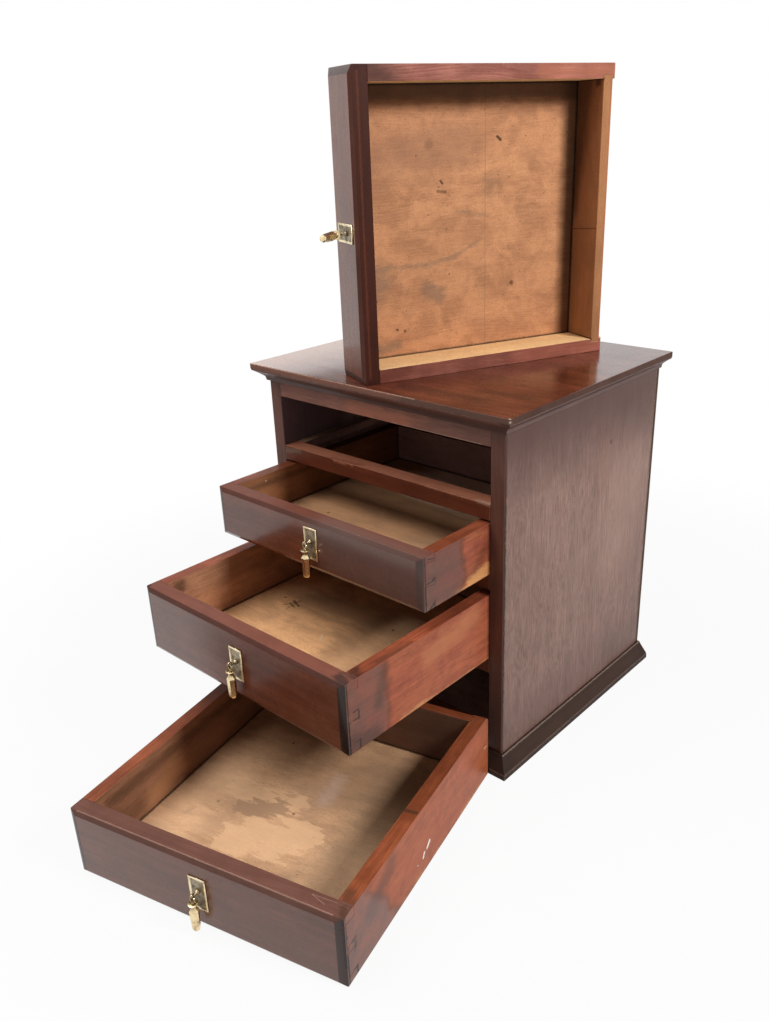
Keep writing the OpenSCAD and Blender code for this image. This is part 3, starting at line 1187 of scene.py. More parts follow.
def add_ring(bm: bmesh.types.BMesh, middle: Point, radius: float, wire: float, axis: int,
             steps: int = 40, sides: int = 14) -> None:
    """Adds a closed ring of round wire, in millimetres.

    Args:
        bm: The mesh to add to.
        middle: The ring's middle.
        radius: The radius of the wire's own middle line.
        wire: The wire's radius.
        axis: The number of the axis that goes through the ring.
        steps: The number of sections round the ring.
        sides: The number of points round the wire.
    """
    turns = [2 * math.pi * k / sides for k in range(sides)]
    add_skin(bm, [[around(middle, axis, radius + wire * math.cos(b), 2 * math.pi * j / steps,
                          wire * math.sin(b)) for b in turns] for j in range(steps)], True)


def add_turned(bm: bmesh.types.BMesh, origin: Point, profile: Sequence[tuple[float, float, float]],
               axis: int, count: int = 24, sides: int = 6) -> None:
    """Adds a turned piece whose section may go from round to many-sided, in millimetres.

    Args:
        bm: The mesh to add to.
        origin: Where the profile's distances start.
        profile: Distance along the axis, radius, and how many-sided the section is, 0 to 1.
        axis: The number of the axis that it is turned about.
        count: The number of points round a section.
        sides: The number of flats.
    """
    step = 2 * math.pi / sides
    inner = math.cos(step / 2)
    loops = []
    for along, radius, flats in profile:
        loop = []
        for k in range(count):
            a = 2 * math.pi * k / count
            off = (a + step / 2) % step - step / 2
            reach = radius * ((1 - flats) + flats * inner / math.cos(step / 2 - abs(off)))
            loop.append(around(origin, axis, reach, a, along))
        loops.append(loop)
    add_skin(bm, loops)


def brad_stains() -> tuple[Mark, ...]:
    """Rust that has run down the back boards from each brad.

    Returns:
        The marks.
    """
    column, lowest, gap, count, run = 142.3, 22.4, 44.8, 8, 7.0
    rust = (0.060, 0.022, 0.010)
    return tuple(
        Mark((side * column, CASE_FRONT, lowest + gap * row),
             (side * column, CASE_FRONT, lowest + gap * row - run), 2.2, rust, 0.85, 0.7, 0.5)
        for side in (-1, 1) for row in range(count))


@dataclass
class Carcass:
    """The chest's case: side boards, lid, rails, mouldings, plinth, back and runners."""

    shop: Shop
    body: str = "carcass"
    # The side's pale greyish-pink colours hold a painted sheen on top of the wood's own colour.
    side: PolishedWood = PolishedWood(
        "side_polish", dark=(0.13, 0.068, 0.052), light=(0.36, 0.212, 0.168), streak=0.8,
        figure=0.95, dust_and_sheen=0.2, dirt=0.9, gloss=0.4, coat=0.15, mottle=0.25, band=9.0, fine=0.8,
        pored=0.6,
        marks=(
            spot(CASE_SIDE, 43, 290, 2.5), spot(CASE_SIDE, -134, 340, 2.2, BLACK_DIRT),
            Mark((CASE_SIDE, -135, 20), (CASE_SIDE, -135, 350), 1.7, BLACK_DIRT, 0.9, 0.4, 1.0),
            Mark((CASE_SIDE, 135, 20), (CASE_SIDE, 135, 350), 1.2, BLACK_DIRT, 0.8, 0.5, 0.7),
            Mark((CASE_SIDE, 30, 300), (CASE_SIDE, 36, 262), 16.0, (0.22, 0.11, 0.075), 0.35, 0.9),
            # Painted shade: a dark band under the lid and moulding.
            Mark((CASE_SIDE, -130, 345), (CASE_SIDE, 130, 345), 50.0, (0.075, 0.033, 0.027), 0.9,
                 0.95, 0.2),
            Mark((CASE_SIDE, -130, 30), (CASE_SIDE, 130, 30), 40.0, (0.1, 0.05, 0.038), 0.35,
                 0.95, 0.2),
            # Painted sheen: a paler patch in the middle of the side.
            Mark((CASE_SIDE, 70, 170), (CASE_SIDE, 90, 240), 40.0, (0.4, 0.25, 0.2), 0.35, 0.95,
                 0.2),
            Mark((CASE_SIDE, 80, 322), (CASE_SIDE, 130, 300), 34.0, (0.085, 0.042, 0.033), 0.4,
                 0.95, 0.2)))
    stile: PolishedWood = PolishedWood(
        "stile_polish", dark=(0.084, 0.031, 0.021), light=(0.165, 0.066, 0.045), figure=0.9,
        coat=0.25, gloss=0.5)
    lid: PolishedWood = PolishedWood(
        "lid_polish", dark=(0.062, 0.014, 0.007), light=(0.165, 0.045, 0.022), gloss=0.22,
        coat=1.0, band=14.0, mottle=0.5, dirt=0.5, worn=(0.34, 0.18, 0.12), worn_share=0.6,
        shine=0.05, figure=0.9,
        rubbed=(
            Mark((-20, -160, LID_TOP), (190, -90, LID_TOP), 62.0, strength=0.85, soft=0.5,
                 ragged=0.15),),
        marks=(
            Mark((30, -125, LID_TOP), (110, -120, LID_TOP), 9.0, BLACK_DIRT, 0.45, 0.9),
            Mark((95, -95, LID_TOP), (140, -88, LID_TOP), 7.0, BLACK_DIRT, 0.4, 0.9),
            spot(110, -30, LID_TOP, 14.0, BLACK_DIRT, 0.35, 0.9),
            # Painted sheen: a pale pinkish patch at the lid's left end.
            Mark((-168, -140, LID_TOP), (-155, 140, LID_TOP), 56.0, (0.7, 0.46, 0.38), 0.75, 0.95,
                 0.1),
            spot(162.8, -148.4, 363.8, 1.3, (0.56, 0.46, 0.39), 0.7)))
    edge: PolishedWood = PolishedWood(
        "moulding_polish", dark=(0.082, 0.039, 0.031), light=(0.175, 0.09, 0.072),
        worn=(0.34, 0.2, 0.14), worn_share=0.3, coat=0.5, gloss=0.42, shine=0.0,
        marks=(
            # Painted light: a lighter band on the front moulding's upper slope.
            Mark((-158, -147.5, 357.5), (CASE_SIDE, -147.5, 357.5), 3.2, (0.22, 0.096, 0.068),
                 0.65, 0.7, 0.6),))
    rim: PolishedWood = PolishedWood(
        "lid_edge_polish", dark=(0.045, 0.018, 0.011), light=(0.095, 0.042, 0.028),
        worn=(0.34, 0.2, 0.14), worn_share=0.5, coat=0.0, gloss=0.42, dirt=0.6,
        marks=(
            Mark((-160, -LID_FRONT, 361.5), (40, -LID_FRONT, 361.5), 3.6, (0.25, 0.108, 0.075),
                 0.75, 0.6, 0.8),
            Mark((40, -LID_FRONT, 361.5), (163, -LID_FRONT, 361.5), 3.6, (0.15, 0.078, 0.056),
                 0.7, 0.6, 0.8),
            Mark((-162, -LID_FRONT, 364.2), (60, -LID_FRONT, 364.2), 0.7, (0.6, 0.38, 0.28), 0.6,
                 0.7, 1.5),
            Mark((-160, -LID_FRONT, 358.6), (CASE_SIDE, -LID_FRONT, 358.6), 0.5,
                 (0.5, 0.33, 0.25), 0.5, 0.7, 1.5),
            spot(162.8, -148.4, 361.5, 1.0, (0.56, 0.46, 0.39), 0.7)))
    plinth: PolishedWood = PolishedWood(
        "plinth_polish", dark=(0.022, 0.011, 0.008), light=(0.05, 0.026, 0.018),
        worn=(0.24, 0.15, 0.11), worn_share=0.5, coat=0.0, gloss=0.42,
        marks=(
            # Pale lines along the plinth's top edge and lower arrises: partly wear, partly painted
            # highlight.
            Mark((152.6, -137, 18), (152.6, 134, 18), 0.7, (0.3, 0.22, 0.18), 0.6, 0.7, 1.0),
            Mark((163, -147, 5.5), (163, 134, 5.5), 0.8, (0.22, 0.15, 0.12), 0.5, 0.8, 1.0),
            Mark((-CASE_SIDE, -148.6, 5.5), (162, -148.6, 5.5), 0.8, (0.22, 0.15, 0.12), 0.5, 0.8,
                 1.0),
            Mark((157, -120, 11), (157, 120, 11), 6.0, (0.07, 0.036, 0.026), 0.3, 0.95, 0.6)))
    face: PolishedWood = PolishedWood(
        "rail_polish", dark=(0.15, 0.055, 0.036), light=(0.36, 0.146, 0.098), coat=0.25,
        figure=1.0, gloss=0.5, fine=0.6,
        marks=(
            Mark((-30, -CASE_FRONT, 338), (35, -CASE_FRONT, 336), 8.0, (0.5, 0.17, 0.09), 0.5,
                 0.9, 0.8),
            Mark((75, -CASE_FRONT, 340), (134, -CASE_FRONT, 336), 9.0, (0.17, 0.09, 0.07), 0.4,
                 0.9, 0.6),
            Mark((20, -CASE_FRONT, 331.3), (125, -CASE_FRONT, 331.3), 0.6, (0.55, 0.35, 0.26),
                 0.5, 0.7, 1.5)))
    lower: PolishedWood = PolishedWood(
        "divider_polish", dark=(0.085, 0.019, 0.009), light=(0.2, 0.054, 0.025),
        worn=(0.42, 0.19, 0.11), worn_share=0.6, reach=2.0, coat=0.0, gloss=0.36,
        marks=(
            Mark((-60, -CASE_FRONT, 277.6), (-30, -133, 277.8), 2.4, (0.36, 0.13, 0.07), 0.8, 0.2,
                 0.9),
            Mark((60, -134.5, 277.8), (128, -134.5, 277.8), 1.2, (0.42, 0.19, 0.11), 0.7, 0.5,
                 0.9),
            Mark((121, -135, 277.5), (134, -135, 277), 1.4, (0.4, 0.25, 0.17), 0.5, 0.6, 0.8),
            Mark((-133, -CASE_FRONT, 272), (-112, -CASE_FRONT, 276), 2.6, GREY_DIRT, 0.5, 0.6,
                 0.8)))
    ledge: PolishedWood = PolishedWood(
        "divider_top", dark=(0.22, 0.078, 0.044), light=(0.4, 0.155, 0.09),
        worn=(0.45, 0.24, 0.16), coat=0.15, gloss=0.44,
        marks=(
            Mark((-64, -134.5, 277.8), (-26, -131, 277.8), 2.8, (0.16, 0.05, 0.03), 0.7, 0.2, 0.9),
            Mark((119, -133.5, 277.8), (134, -133, 277.8), 2.2, (0.48, 0.32, 0.23), 0.45, 0.6,
                 0.8)))
    inside: BareWood = BareWood(
        "carcass_inside", dark=(0.5, 0.35, 0.33), light=(0.72, 0.53, 0.5),
        marks=(
            # Painted shade: a dark patch on the left wall inside the top opening.
            Mark((-134, -150, 304), (-134, -70, 304), 44.0, (0.11, 0.07, 0.08), 0.85, 0.5, 0.2),))
    runner: BareWood = BareWood(
        "runner_wood", dark=(0.26, 0.14, 0.085), light=(0.44, 0.25, 0.155))
    back: BareWood = BareWood(
        "back_wood", dark=(0.12, 0.054, 0.028), light=(0.38, 0.2, 0.105), figure=0.9,
        grime_share=0.6, grime_size=60.0, specks=0.15,
        marks=brad_stains() + (
            Mark((-CASE_SIDE, CASE_FRONT, 179.2), (CASE_SIDE, CASE_FRONT, 179.2), 1.1, BLACK_DIRT,
                 0.85, 0.5, 0.5),
            Mark((-CASE_SIDE, CASE_FRONT, 4), (CASE_SIDE, CASE_FRONT, 2), 16.0, BROWN_DIRT_AND_SHADE, 0.7,
                 0.95, 0.3),
            Mark((-CASE_SIDE, CASE_FRONT, 356), (CASE_SIDE, CASE_FRONT, 356), 12.0, BROWN_DIRT_AND_SHADE,
                 0.6, 0.95, 0.3),
            Mark((-70, CASE_FRONT, 250), (20, CASE_FRONT, 262), 34.0, GREY_DIRT, 0.35, 0.9, 0.4),
            Mark((40, CASE_FRONT, 60), (110, CASE_FRONT, 84), 26.0, GREY_DIRT, 0.35, 0.9, 0.4),
            Mark((-96, CASE_FRONT, 120), (-38, CASE_FRONT, 128), 0.6, (0.46, 0.29, 0.17), 0.7,
                 0.5)))
    ends: BareWood = BareWood(
        "back_board_ends", dark=(0.026, 0.013, 0.009), light=(0.06, 0.03, 0.02))
    iron: RustedIron = RustedIron("rusted_iron")

    def build(self) -> None:
        """Builds every piece of the case."""
        still = Matrix.Identity(4)
        shop = self.shop
        for seed, (name, hidden) in enumerate(
                {"left": Facing.RIGHT, "right": Facing.LEFT}.items()):
            shop.board(f"side_{name}", self.body, "carcass_mahogany", Grain.UPRIGHT, still,
                       {None: self.side, hidden: self.inside, Facing.UNDER: self.inside,
                        Facing.FRONT: self.stile},
                       0.6, 3.0 + seed)
        shop.board("top_board", self.body, "top_mahogany", Grain.ACROSS, still,
                   {None: self.rim, Facing.TOP: self.lid}, 0.9, 1.0)
        for part, finish in {"moulding": self.edge, "plinth": self.plinth}.items():
            for seed, (where, grain) in enumerate(
                    {"front": Grain.ACROSS, "left": Grain.DEPTH, "right": Grain.DEPTH}.items()):
                shop.board(f"{part}_{where}", self.body, "carcass_mahogany", grain, still,
                           {None: finish}, 0.25, 7.0 + seed)
        for seed, name in enumerate(("top_rail", "bottom_rail")):
            shop.board(name, self.body, "rail_mahogany", Grain.ACROSS, still,
                       {None: self.face, Facing.REAR: self.inside, Facing.UNDER: self.inside},
                       0.5, 11.0 + seed)
        for number in (1, 2, 3):
            shop.board(f"divider_rail_{number}", self.body, "rail_mahogany", Grain.ACROSS, still,
                       {None: self.lower, Facing.TOP: self.ledge, Facing.REAR: self.inside,
                        Facing.UNDER: self.inside}, 0.5, 13.0 + number)
        shop.board("bottom_board", self.body, "inner_wood", Grain.ACROSS, still,
                   {None: self.inside}, 0.4, 17.0)
        for seed, name in enumerate(("back_board_lower", "back_board_upper")):
            shop.board(name, self.body, "back_wood", Grain.ACROSS, still,
                       {None: self.back, Facing.FRONT: self.inside, Facing.LEFT: self.ends,
                        Facing.RIGHT: self.ends}, 0.4, 19.0 + seed)
        for tier in range(1, 5):
            for side in ("left", "right"):
                shop.board(f"runner_{tier}_{side}", self.body, "inner_wood", Grain.DEPTH,
                           still, {None: self.inside, Facing.TOP: self.runner}, 0.4,
                           21.0 + tier)
        shop.board("back_brads", self.body, "iron_brads", Grain.DEPTH, still,
                   {None: self.iron}, 0.25)
        log.info("carcass: sides, lid, rails, mouldings, plinth, back and runners")


@dataclass(frozen=True)
class Look:
    """How one drawer's boards are coloured, stained and worn, with some painted light and shade
    among the marks.
    """

    front_tone: float = 1.0
    front_coat: float = 0.9
    front_rubbed: tuple[Mark, ...] = ()
    end_tone: float = 1.0
    front_marks: tuple[Mark, ...] = ()
    slope_dark: Colour = (0.060, 0.017, 0.010)
    slope_light: Colour = (0.115, 0.036, 0.022)
    top_dark: Colour = (0.130, 0.048, 0.032)
    top_light: Colour = (0.210, 0.082, 0.056)
    reach: float = 48.0
    lean: float = 0.0
    red_dark: Colour = (0.190, 0.043, 0.020)
    red_light: Colour = (0.300, 0.078, 0.036)
    orange_share: float = 0.3
    polish: Colour = (0.105, 0.040, 0.026)
    side_marks: tuple[Mark, ...] = ()
    edge_dark: Colour = (0.110, 0.026, 0.011)
    edge_light: Colour = (0.230, 0.060, 0.026)
    edge_marks: tuple[Mark, ...] = ()
    wall_dark: Colour = (0.200, 0.080, 0.036)
    wall_light: Colour = (0.400, 0.175, 0.080)
    back_dark: Colour = (0.160, 0.085, 0.055)
    back_light: Colour = (0.300, 0.160, 0.105)
    wall_marks: tuple[Mark, ...] = ()
    wall_grime: float = 0.5
    back_marks: tuple[Mark, ...] = ()
    back_polished: bool = True
    floor_up: float = SMALL_FLOOR
    floor_dark: Colour = (0.490, 0.255, 0.125)
    floor_light: Colour = (0.630, 0.350, 0.180)
    floor_grain: Grain = Grain.ACROSS
    floor_figure: float = 0.7
    floor_drawn: float = 0.5
    floor_marks: tuple[Mark, ...] = ()
    specks: float = 0.09
    grime: Colour = (0.190, 0.110, 0.065)
    grime_share: float = 0.38


def lap_marks(height: float, split: float, pins: Sequence[Sequence[Point]]) -> tuple[Mark, ...]:
    """The dark lines of the lap and the pins on the right side of a drawer.

    Args:
        height: The drawer's height.
        split: How far the lap has opened at its foot.
        pins: Corners of the pins' lines as distance behind the lap, level and radius.

    Returns:
        The marks, one capsule for each line.
    """
    lap, split_share, wider = 1.6, 0.45, 0.15
    marks = [Mark((OUTSIDE, lap, 0), (OUTSIDE, lap - 0.3, height), 0.6, strength=1.0, ragged=0.8),
             Mark((OUTSIDE, lap + 0.5, 0), (OUTSIDE, lap, height * split_share), split,
                  strength=1.0, ragged=0.9)]
    marks += [Mark((OUTSIDE, one[0], height - one[1]), (OUTSIDE, two[0], height - two[1]),
                   one[2] + wider, ragged=0.6)
              for line in pins for one, two in zip(line, line[1:])]
    return tuple(marks)


LOOK_1 = Look(
    front_tone=0.9, front_coat=0.65, end_tone=0.9, reach=46.0, top_dark=(0.03, 0.007, 0.004),
    top_light=(0.07, 0.018, 0.01),
    front_marks=(
        Mark((-128, 4.5, SMALL_TOP), (128, 4.5, SMALL_TOP), 0.9, (0.17, 0.044, 0.019), 0.4, 0.9,
             1.2),),
    edge_dark=(0.245, 0.078, 0.052), edge_light=(0.49, 0.19, 0.14),
    edge_marks=(
        Mark((-133, 12, SMALL_TOP), (-121, 30, SMALL_TOP), 14.0, (0.05, 0.02, 0.014), 0.8, 0.9),
        Mark((133, 14, SMALL_TOP), (121, 40, SMALL_TOP), 10.0, (0.1, 0.03, 0.018), 0.6, 0.9),
        Mark((-127, 185, SMALL_TOP), (-127, 262, SMALL_TOP), 7.0, (0.46, 0.16, 0.09), 0.45, 0.95),
        Mark((127, 20, SMALL_TOP), (127, 150, SMALL_TOP), 12.0, (0.12, 0.026, 0.016), 0.5, 0.9,
             0.8),
        Mark((127, 170, SMALL_TOP), (127, 262, SMALL_TOP), 12.0, (0.3, 0.075, 0.04), 0.4, 0.9,
             0.8)),
    wall_dark=(0.92, 0.53, 0.24), wall_light=(0.99, 0.68, 0.345), wall_grime=0.15,
    back_dark=(0.36, 0.15, 0.06), back_light=(0.5, 0.225, 0.095), back_polished=False,
    back_marks=(
        Mark((-124, 261, SMALL_TOP), (124, 261, SMALL_TOP), 2.2, (0.42, 0.13, 0.07), 0.5, 0.7,
             0.6),
        # Painted shadow: the diagonal shade that the upper side casts on the back's inside.
        Mark((-118, BACK_WALL, 22), (-10, BACK_WALL, 4), 14.0, BROWN_DIRT_AND_SHADE, 0.75, 0.6, 0.1),
        Mark((12, BACK_WALL, 50), (15, BACK_WALL, 12), 0.5, BROWN_DIRT_AND_SHADE, 0.7),
        spot(-118, BACK_WALL, 42, 4.0)),
    floor_dark=(0.5, 0.228, 0.106), floor_light=(0.75, 0.365, 0.176), specks=0.6,
    floor_grain=Grain.DEPTH, floor_figure=0.4, floor_drawn=0.85, grime=(0.26, 0.11, 0.055),
    grime_share=0.5,
    floor_marks=(
        Mark((-38, 101, SMALL_FLOOR), (-35.5, 103, SMALL_FLOOR), 1.0, strength=0.8),
        Mark((-74, 162, SMALL_FLOOR), (-71, 165.5, SMALL_FLOOR), 1.3, strength=0.8),
        Mark((-29, 98, SMALL_FLOOR), (-28, 106, SMALL_FLOOR), 1.4, BROWN_DIRT_AND_SHADE, 0.6, 0.5),
        spot(62.3, 179.8, SMALL_FLOOR, 2.2, BROWN_DIRT_AND_SHADE, 0.7),
        spot(-69.7, 89.9, SMALL_FLOOR, 4.5, BROWN_DIRT_AND_SHADE, 0.4),
        spot(-32.4, 154.9, SMALL_FLOOR, 9.0, (0.16, 0.09, 0.055), 0.45, 0.9),
        spot(95, 52, SMALL_FLOOR, 1.3), spot(97, 60, SMALL_FLOOR, 1.4, BROWN_DIRT_AND_SHADE, 0.7),
        Mark((62, 18, SMALL_FLOOR), (48, 34, SMALL_FLOOR), 14.0, GREY_DIRT, 0.55, 0.9),
        Mark((60, 86, SMALL_FLOOR), (66, 98, SMALL_FLOOR), 7.0, GREY_DIRT, 0.5, 0.7),
        Mark((36, 32, SMALL_FLOOR), (37, 84, SMALL_FLOOR), 2.2, GREY_DIRT, 0.4, 0.95, 1.2),
        Mark((37, 84, SMALL_FLOOR), (31, 116, SMALL_FLOOR), 2.0, GREY_DIRT, 0.4, 0.95, 1.2),
        Mark((31, 116, SMALL_FLOOR), (17, 145, SMALL_FLOOR), 1.7, GREY_DIRT, 0.35, 0.95, 1.2),
        Mark((-10, 118, SMALL_FLOOR), (-4, 152, SMALL_FLOOR), 1.8, GREY_DIRT, 0.3, 0.95, 1.2),
        Mark((112, 20, SMALL_FLOOR), (110, 52, SMALL_FLOOR), 5.0, GREY_DIRT, 0.5, 0.7),
        Mark((-118, 149, SMALL_FLOOR), (118, 149, SMALL_FLOOR), 0.5, GREY_DIRT, 0.35, 0.6, 0.3),
        Mark((-60, 30, SMALL_FLOOR), (-70, 120, SMALL_FLOOR), 22.0, (0.3, 0.145, 0.085), 0.5, 0.9),
        # Painted shadows: dark bands where the upper side and the back shade the bottom.
        Mark((-121, 14, SMALL_FLOOR), (-121, 250, SMALL_FLOOR), 17.0, (0.055, 0.03, 0.018), 0.8,
             0.4, 0.12),
        Mark((-121, 250, SMALL_FLOOR), (121, 250, SMALL_FLOOR), 12.0, (0.06, 0.03, 0.016), 0.7,
             0.75, 0.15)))

LOOK_2 = Look(
    reach=50.0, red_dark=(0.18, 0.038, 0.022), red_light=(0.35, 0.085, 0.048), orange_share=0.4,
    polish=(0.134, 0.064, 0.048), top_dark=(0.095, 0.028, 0.017), top_light=(0.18, 0.06, 0.038),
    front_marks=(
        # Painted sheen: a greyish haze on the right part of the front.
        Mark((30, -2.5, 30), (124, -2.5, 20), 28.0, (0.14, 0.09, 0.076), 0.65, 0.9, 0.2),),
    floor_dark=(0.4, 0.205, 0.1), floor_light=(0.54, 0.29, 0.148),
    side_marks=lap_marks(SMALL_TOP, 0.7, (
        ((2.8, 25.0, 0.35), (11.9, 25.0, 0.35)), ((10.8, 24.4, 1.0), (12.4, 23.4, 1.0)),
        ((6.5, 50.2, 0.9), (12.4, 46.5, 1.3)), ((12.4, 46.0, 0.4), (12.8, 50.7, 0.4)),
        ((5.0, 3.0, 0.4), (12.5, 4.5, 0.9)))) + (
        spot(OUTSIDE, 49.9, 30.7, 0.9), spot(OUTSIDE, 29.4, 31.0, 0.8),
        Mark((OUTSIDE, 70, 12), (OUTSIDE, 84, 30), 6.0, BROWN_DIRT_AND_SHADE, 0.4, 0.8),
        Mark((OUTSIDE, 62, 4), (OUTSIDE, 88, 9), 5.0, (0.66, 0.32, 0.12), 0.7, 0.7)),
    # The back's colours are lifted and tinted to stand in for light in the dim top opening: painted
    # light.
    back_dark=(0.34, 0.205, 0.19), back_light=(0.52, 0.32, 0.3),
    wall_marks=(
        spot(-INSIDE, 48.6, 43.9, 0.8, (0.8, 0.78, 0.74), 0.9, 0.3, 0.2),
        # Painted light: an orange patch on the front of the left wall, where light falls.
        Mark((-INSIDE, 20, 30), (-INSIDE, 60, 26), 9.0, (0.46, 0.2, 0.09), 0.6, 0.9),
        Mark((-INSIDE, 10, 41), (-INSIDE, 120, 41), 3.0, BROWN_DIRT_AND_SHADE, 0.5, 0.8)),
    floor_marks=(
        spot(-68.7, 84.3, SMALL_FLOOR, 1.3),
        Mark((70, 40, SMALL_FLOOR), (72, 110, SMALL_FLOOR), 30.0, (0.28, 0.17, 0.1), 0.4, 0.8),
        # Painted light: a pale pool on the rear of the bottom, seen through the top opening.
        Mark((-20, 220, SMALL_FLOOR), (110, 224, SMALL_FLOOR), 46.0, (0.96, 0.72, 0.54), 0.95,
             0.5, 0.3)))

LOOK_3 = Look(
    end_tone=0.35, reach=46.0, floor_up=LARGE_FLOOR, top_dark=(0.13, 0.042, 0.027),
    top_light=(0.23, 0.082, 0.055),
    front_rubbed=(
        Mark((40, -2.5, 30), (134, -2.5, 30), 70.0, strength=0.9, soft=0.7, ragged=0.1),),
    red_dark=(0.265, 0.064, 0.034), red_light=(0.44, 0.118, 0.06), polish=(0.166, 0.071, 0.05),
    wall_dark=(0.37, 0.165, 0.09), wall_light=(0.7, 0.35, 0.2), floor_dark=(0.7, 0.35, 0.16),
    floor_light=(0.92, 0.51, 0.245),
    front_marks=(
        Mark((OUTSIDE, -1, LARGE_TOP), (122, 6, LARGE_TOP), 5.0, (0.03, 0.018, 0.014), 0.8, 0.6,
             0.6),
        Mark((131, 14, LARGE_TOP), (124, 16, LARGE_TOP), 4.0, (0.03, 0.018, 0.014), 0.7, 0.6, 0.6),
        Mark((-OUTSIDE, 0, LARGE_TOP), (-131, 2, 66), 2.2, BLACK_DIRT, 0.9, 0.3)),
    edge_dark=(0.168, 0.038, 0.017), edge_light=(0.39, 0.102, 0.046),
    edge_marks=(
        Mark((133, 14, LARGE_TOP), (124, 20, LARGE_TOP), 5.0, BLACK_DIRT, 0.7, 0.7, 0.6),
        Mark((130, 40, LARGE_TOP), (132, 80, LARGE_TOP), 2.0, BROWN_DIRT_AND_SHADE, 0.5, 0.8)),
    side_marks=lap_marks(LARGE_TOP, 0.8, (
        ((7.0, 29.0, 0.35), (13.0, 29.0, 0.35), (13.0, 37.0, 0.5), (7.0, 37.0, 0.35)),
        ((8.5, 58.5, 0.4), (13.0, 58.0, 0.5), (13.0, 66.0, 0.6)))) + (
        Mark((OUTSIDE, 5, 8), (OUTSIDE, 30, 4), 9.0, BLACK_DIRT, 0.5, 0.8),
        Mark((OUTSIDE, 36, 30), (OUTSIDE, 44, 60), 5.0, BROWN_DIRT_AND_SHADE, 0.5, 0.8),
        Mark((OUTSIDE, 100, 44), (OUTSIDE, 165, 56), 9.0, (0.6, 0.24, 0.1), 0.4, 0.95)),
    wall_marks=(
        Mark((-INSIDE, 14, 50), (-INSIDE, 26, 60), 7.0, BROWN_DIRT_AND_SHADE, 0.7, 0.7),
        # Painted light: an orange patch on the front of the left wall, where light falls.
        Mark((-INSIDE, 24, 24), (-INSIDE, 60, 30), 12.0, (0.46, 0.2, 0.09), 0.5, 0.9)),
    floor_marks=(
        Mark((55, 40, LARGE_FLOOR), (45, 150, LARGE_FLOOR), 36.0, (0.24, 0.145, 0.085), 0.5, 0.35,
             0.5),
        Mark((-60, 150, LARGE_FLOOR), (60, 165, LARGE_FLOOR), 22.0, (0.24, 0.145, 0.085), 0.5,
             0.6, 0.5),
        Mark((-82, 121, LARGE_FLOOR), (-72, 138, LARGE_FLOOR), 0.6, BROWN_DIRT_AND_SHADE, 0.8),
        Mark((-80, 134, LARGE_FLOOR), (-67, 129, LARGE_FLOOR), 1.2, BROWN_DIRT_AND_SHADE, 0.8, 0.4, 0.9),
        Mark((-79, 128, LARGE_FLOOR), (-70, 125, LARGE_FLOOR), 1.0, BROWN_DIRT_AND_SHADE, 0.7, 0.4, 0.9),
        Mark((-75, 140, LARGE_FLOOR), (-73, 118, LARGE_FLOOR), 0.5, BROWN_DIRT_AND_SHADE, 0.7),
        spot(-92.5, 133.4, LARGE_FLOOR, 1.4), spot(41.7, 153.9, LARGE_FLOOR, 1.5),
        Mark((0, 96, LARGE_FLOOR), (-6, 104, LARGE_FLOOR), 1.0, (0.66, 0.5, 0.32), 0.6)))

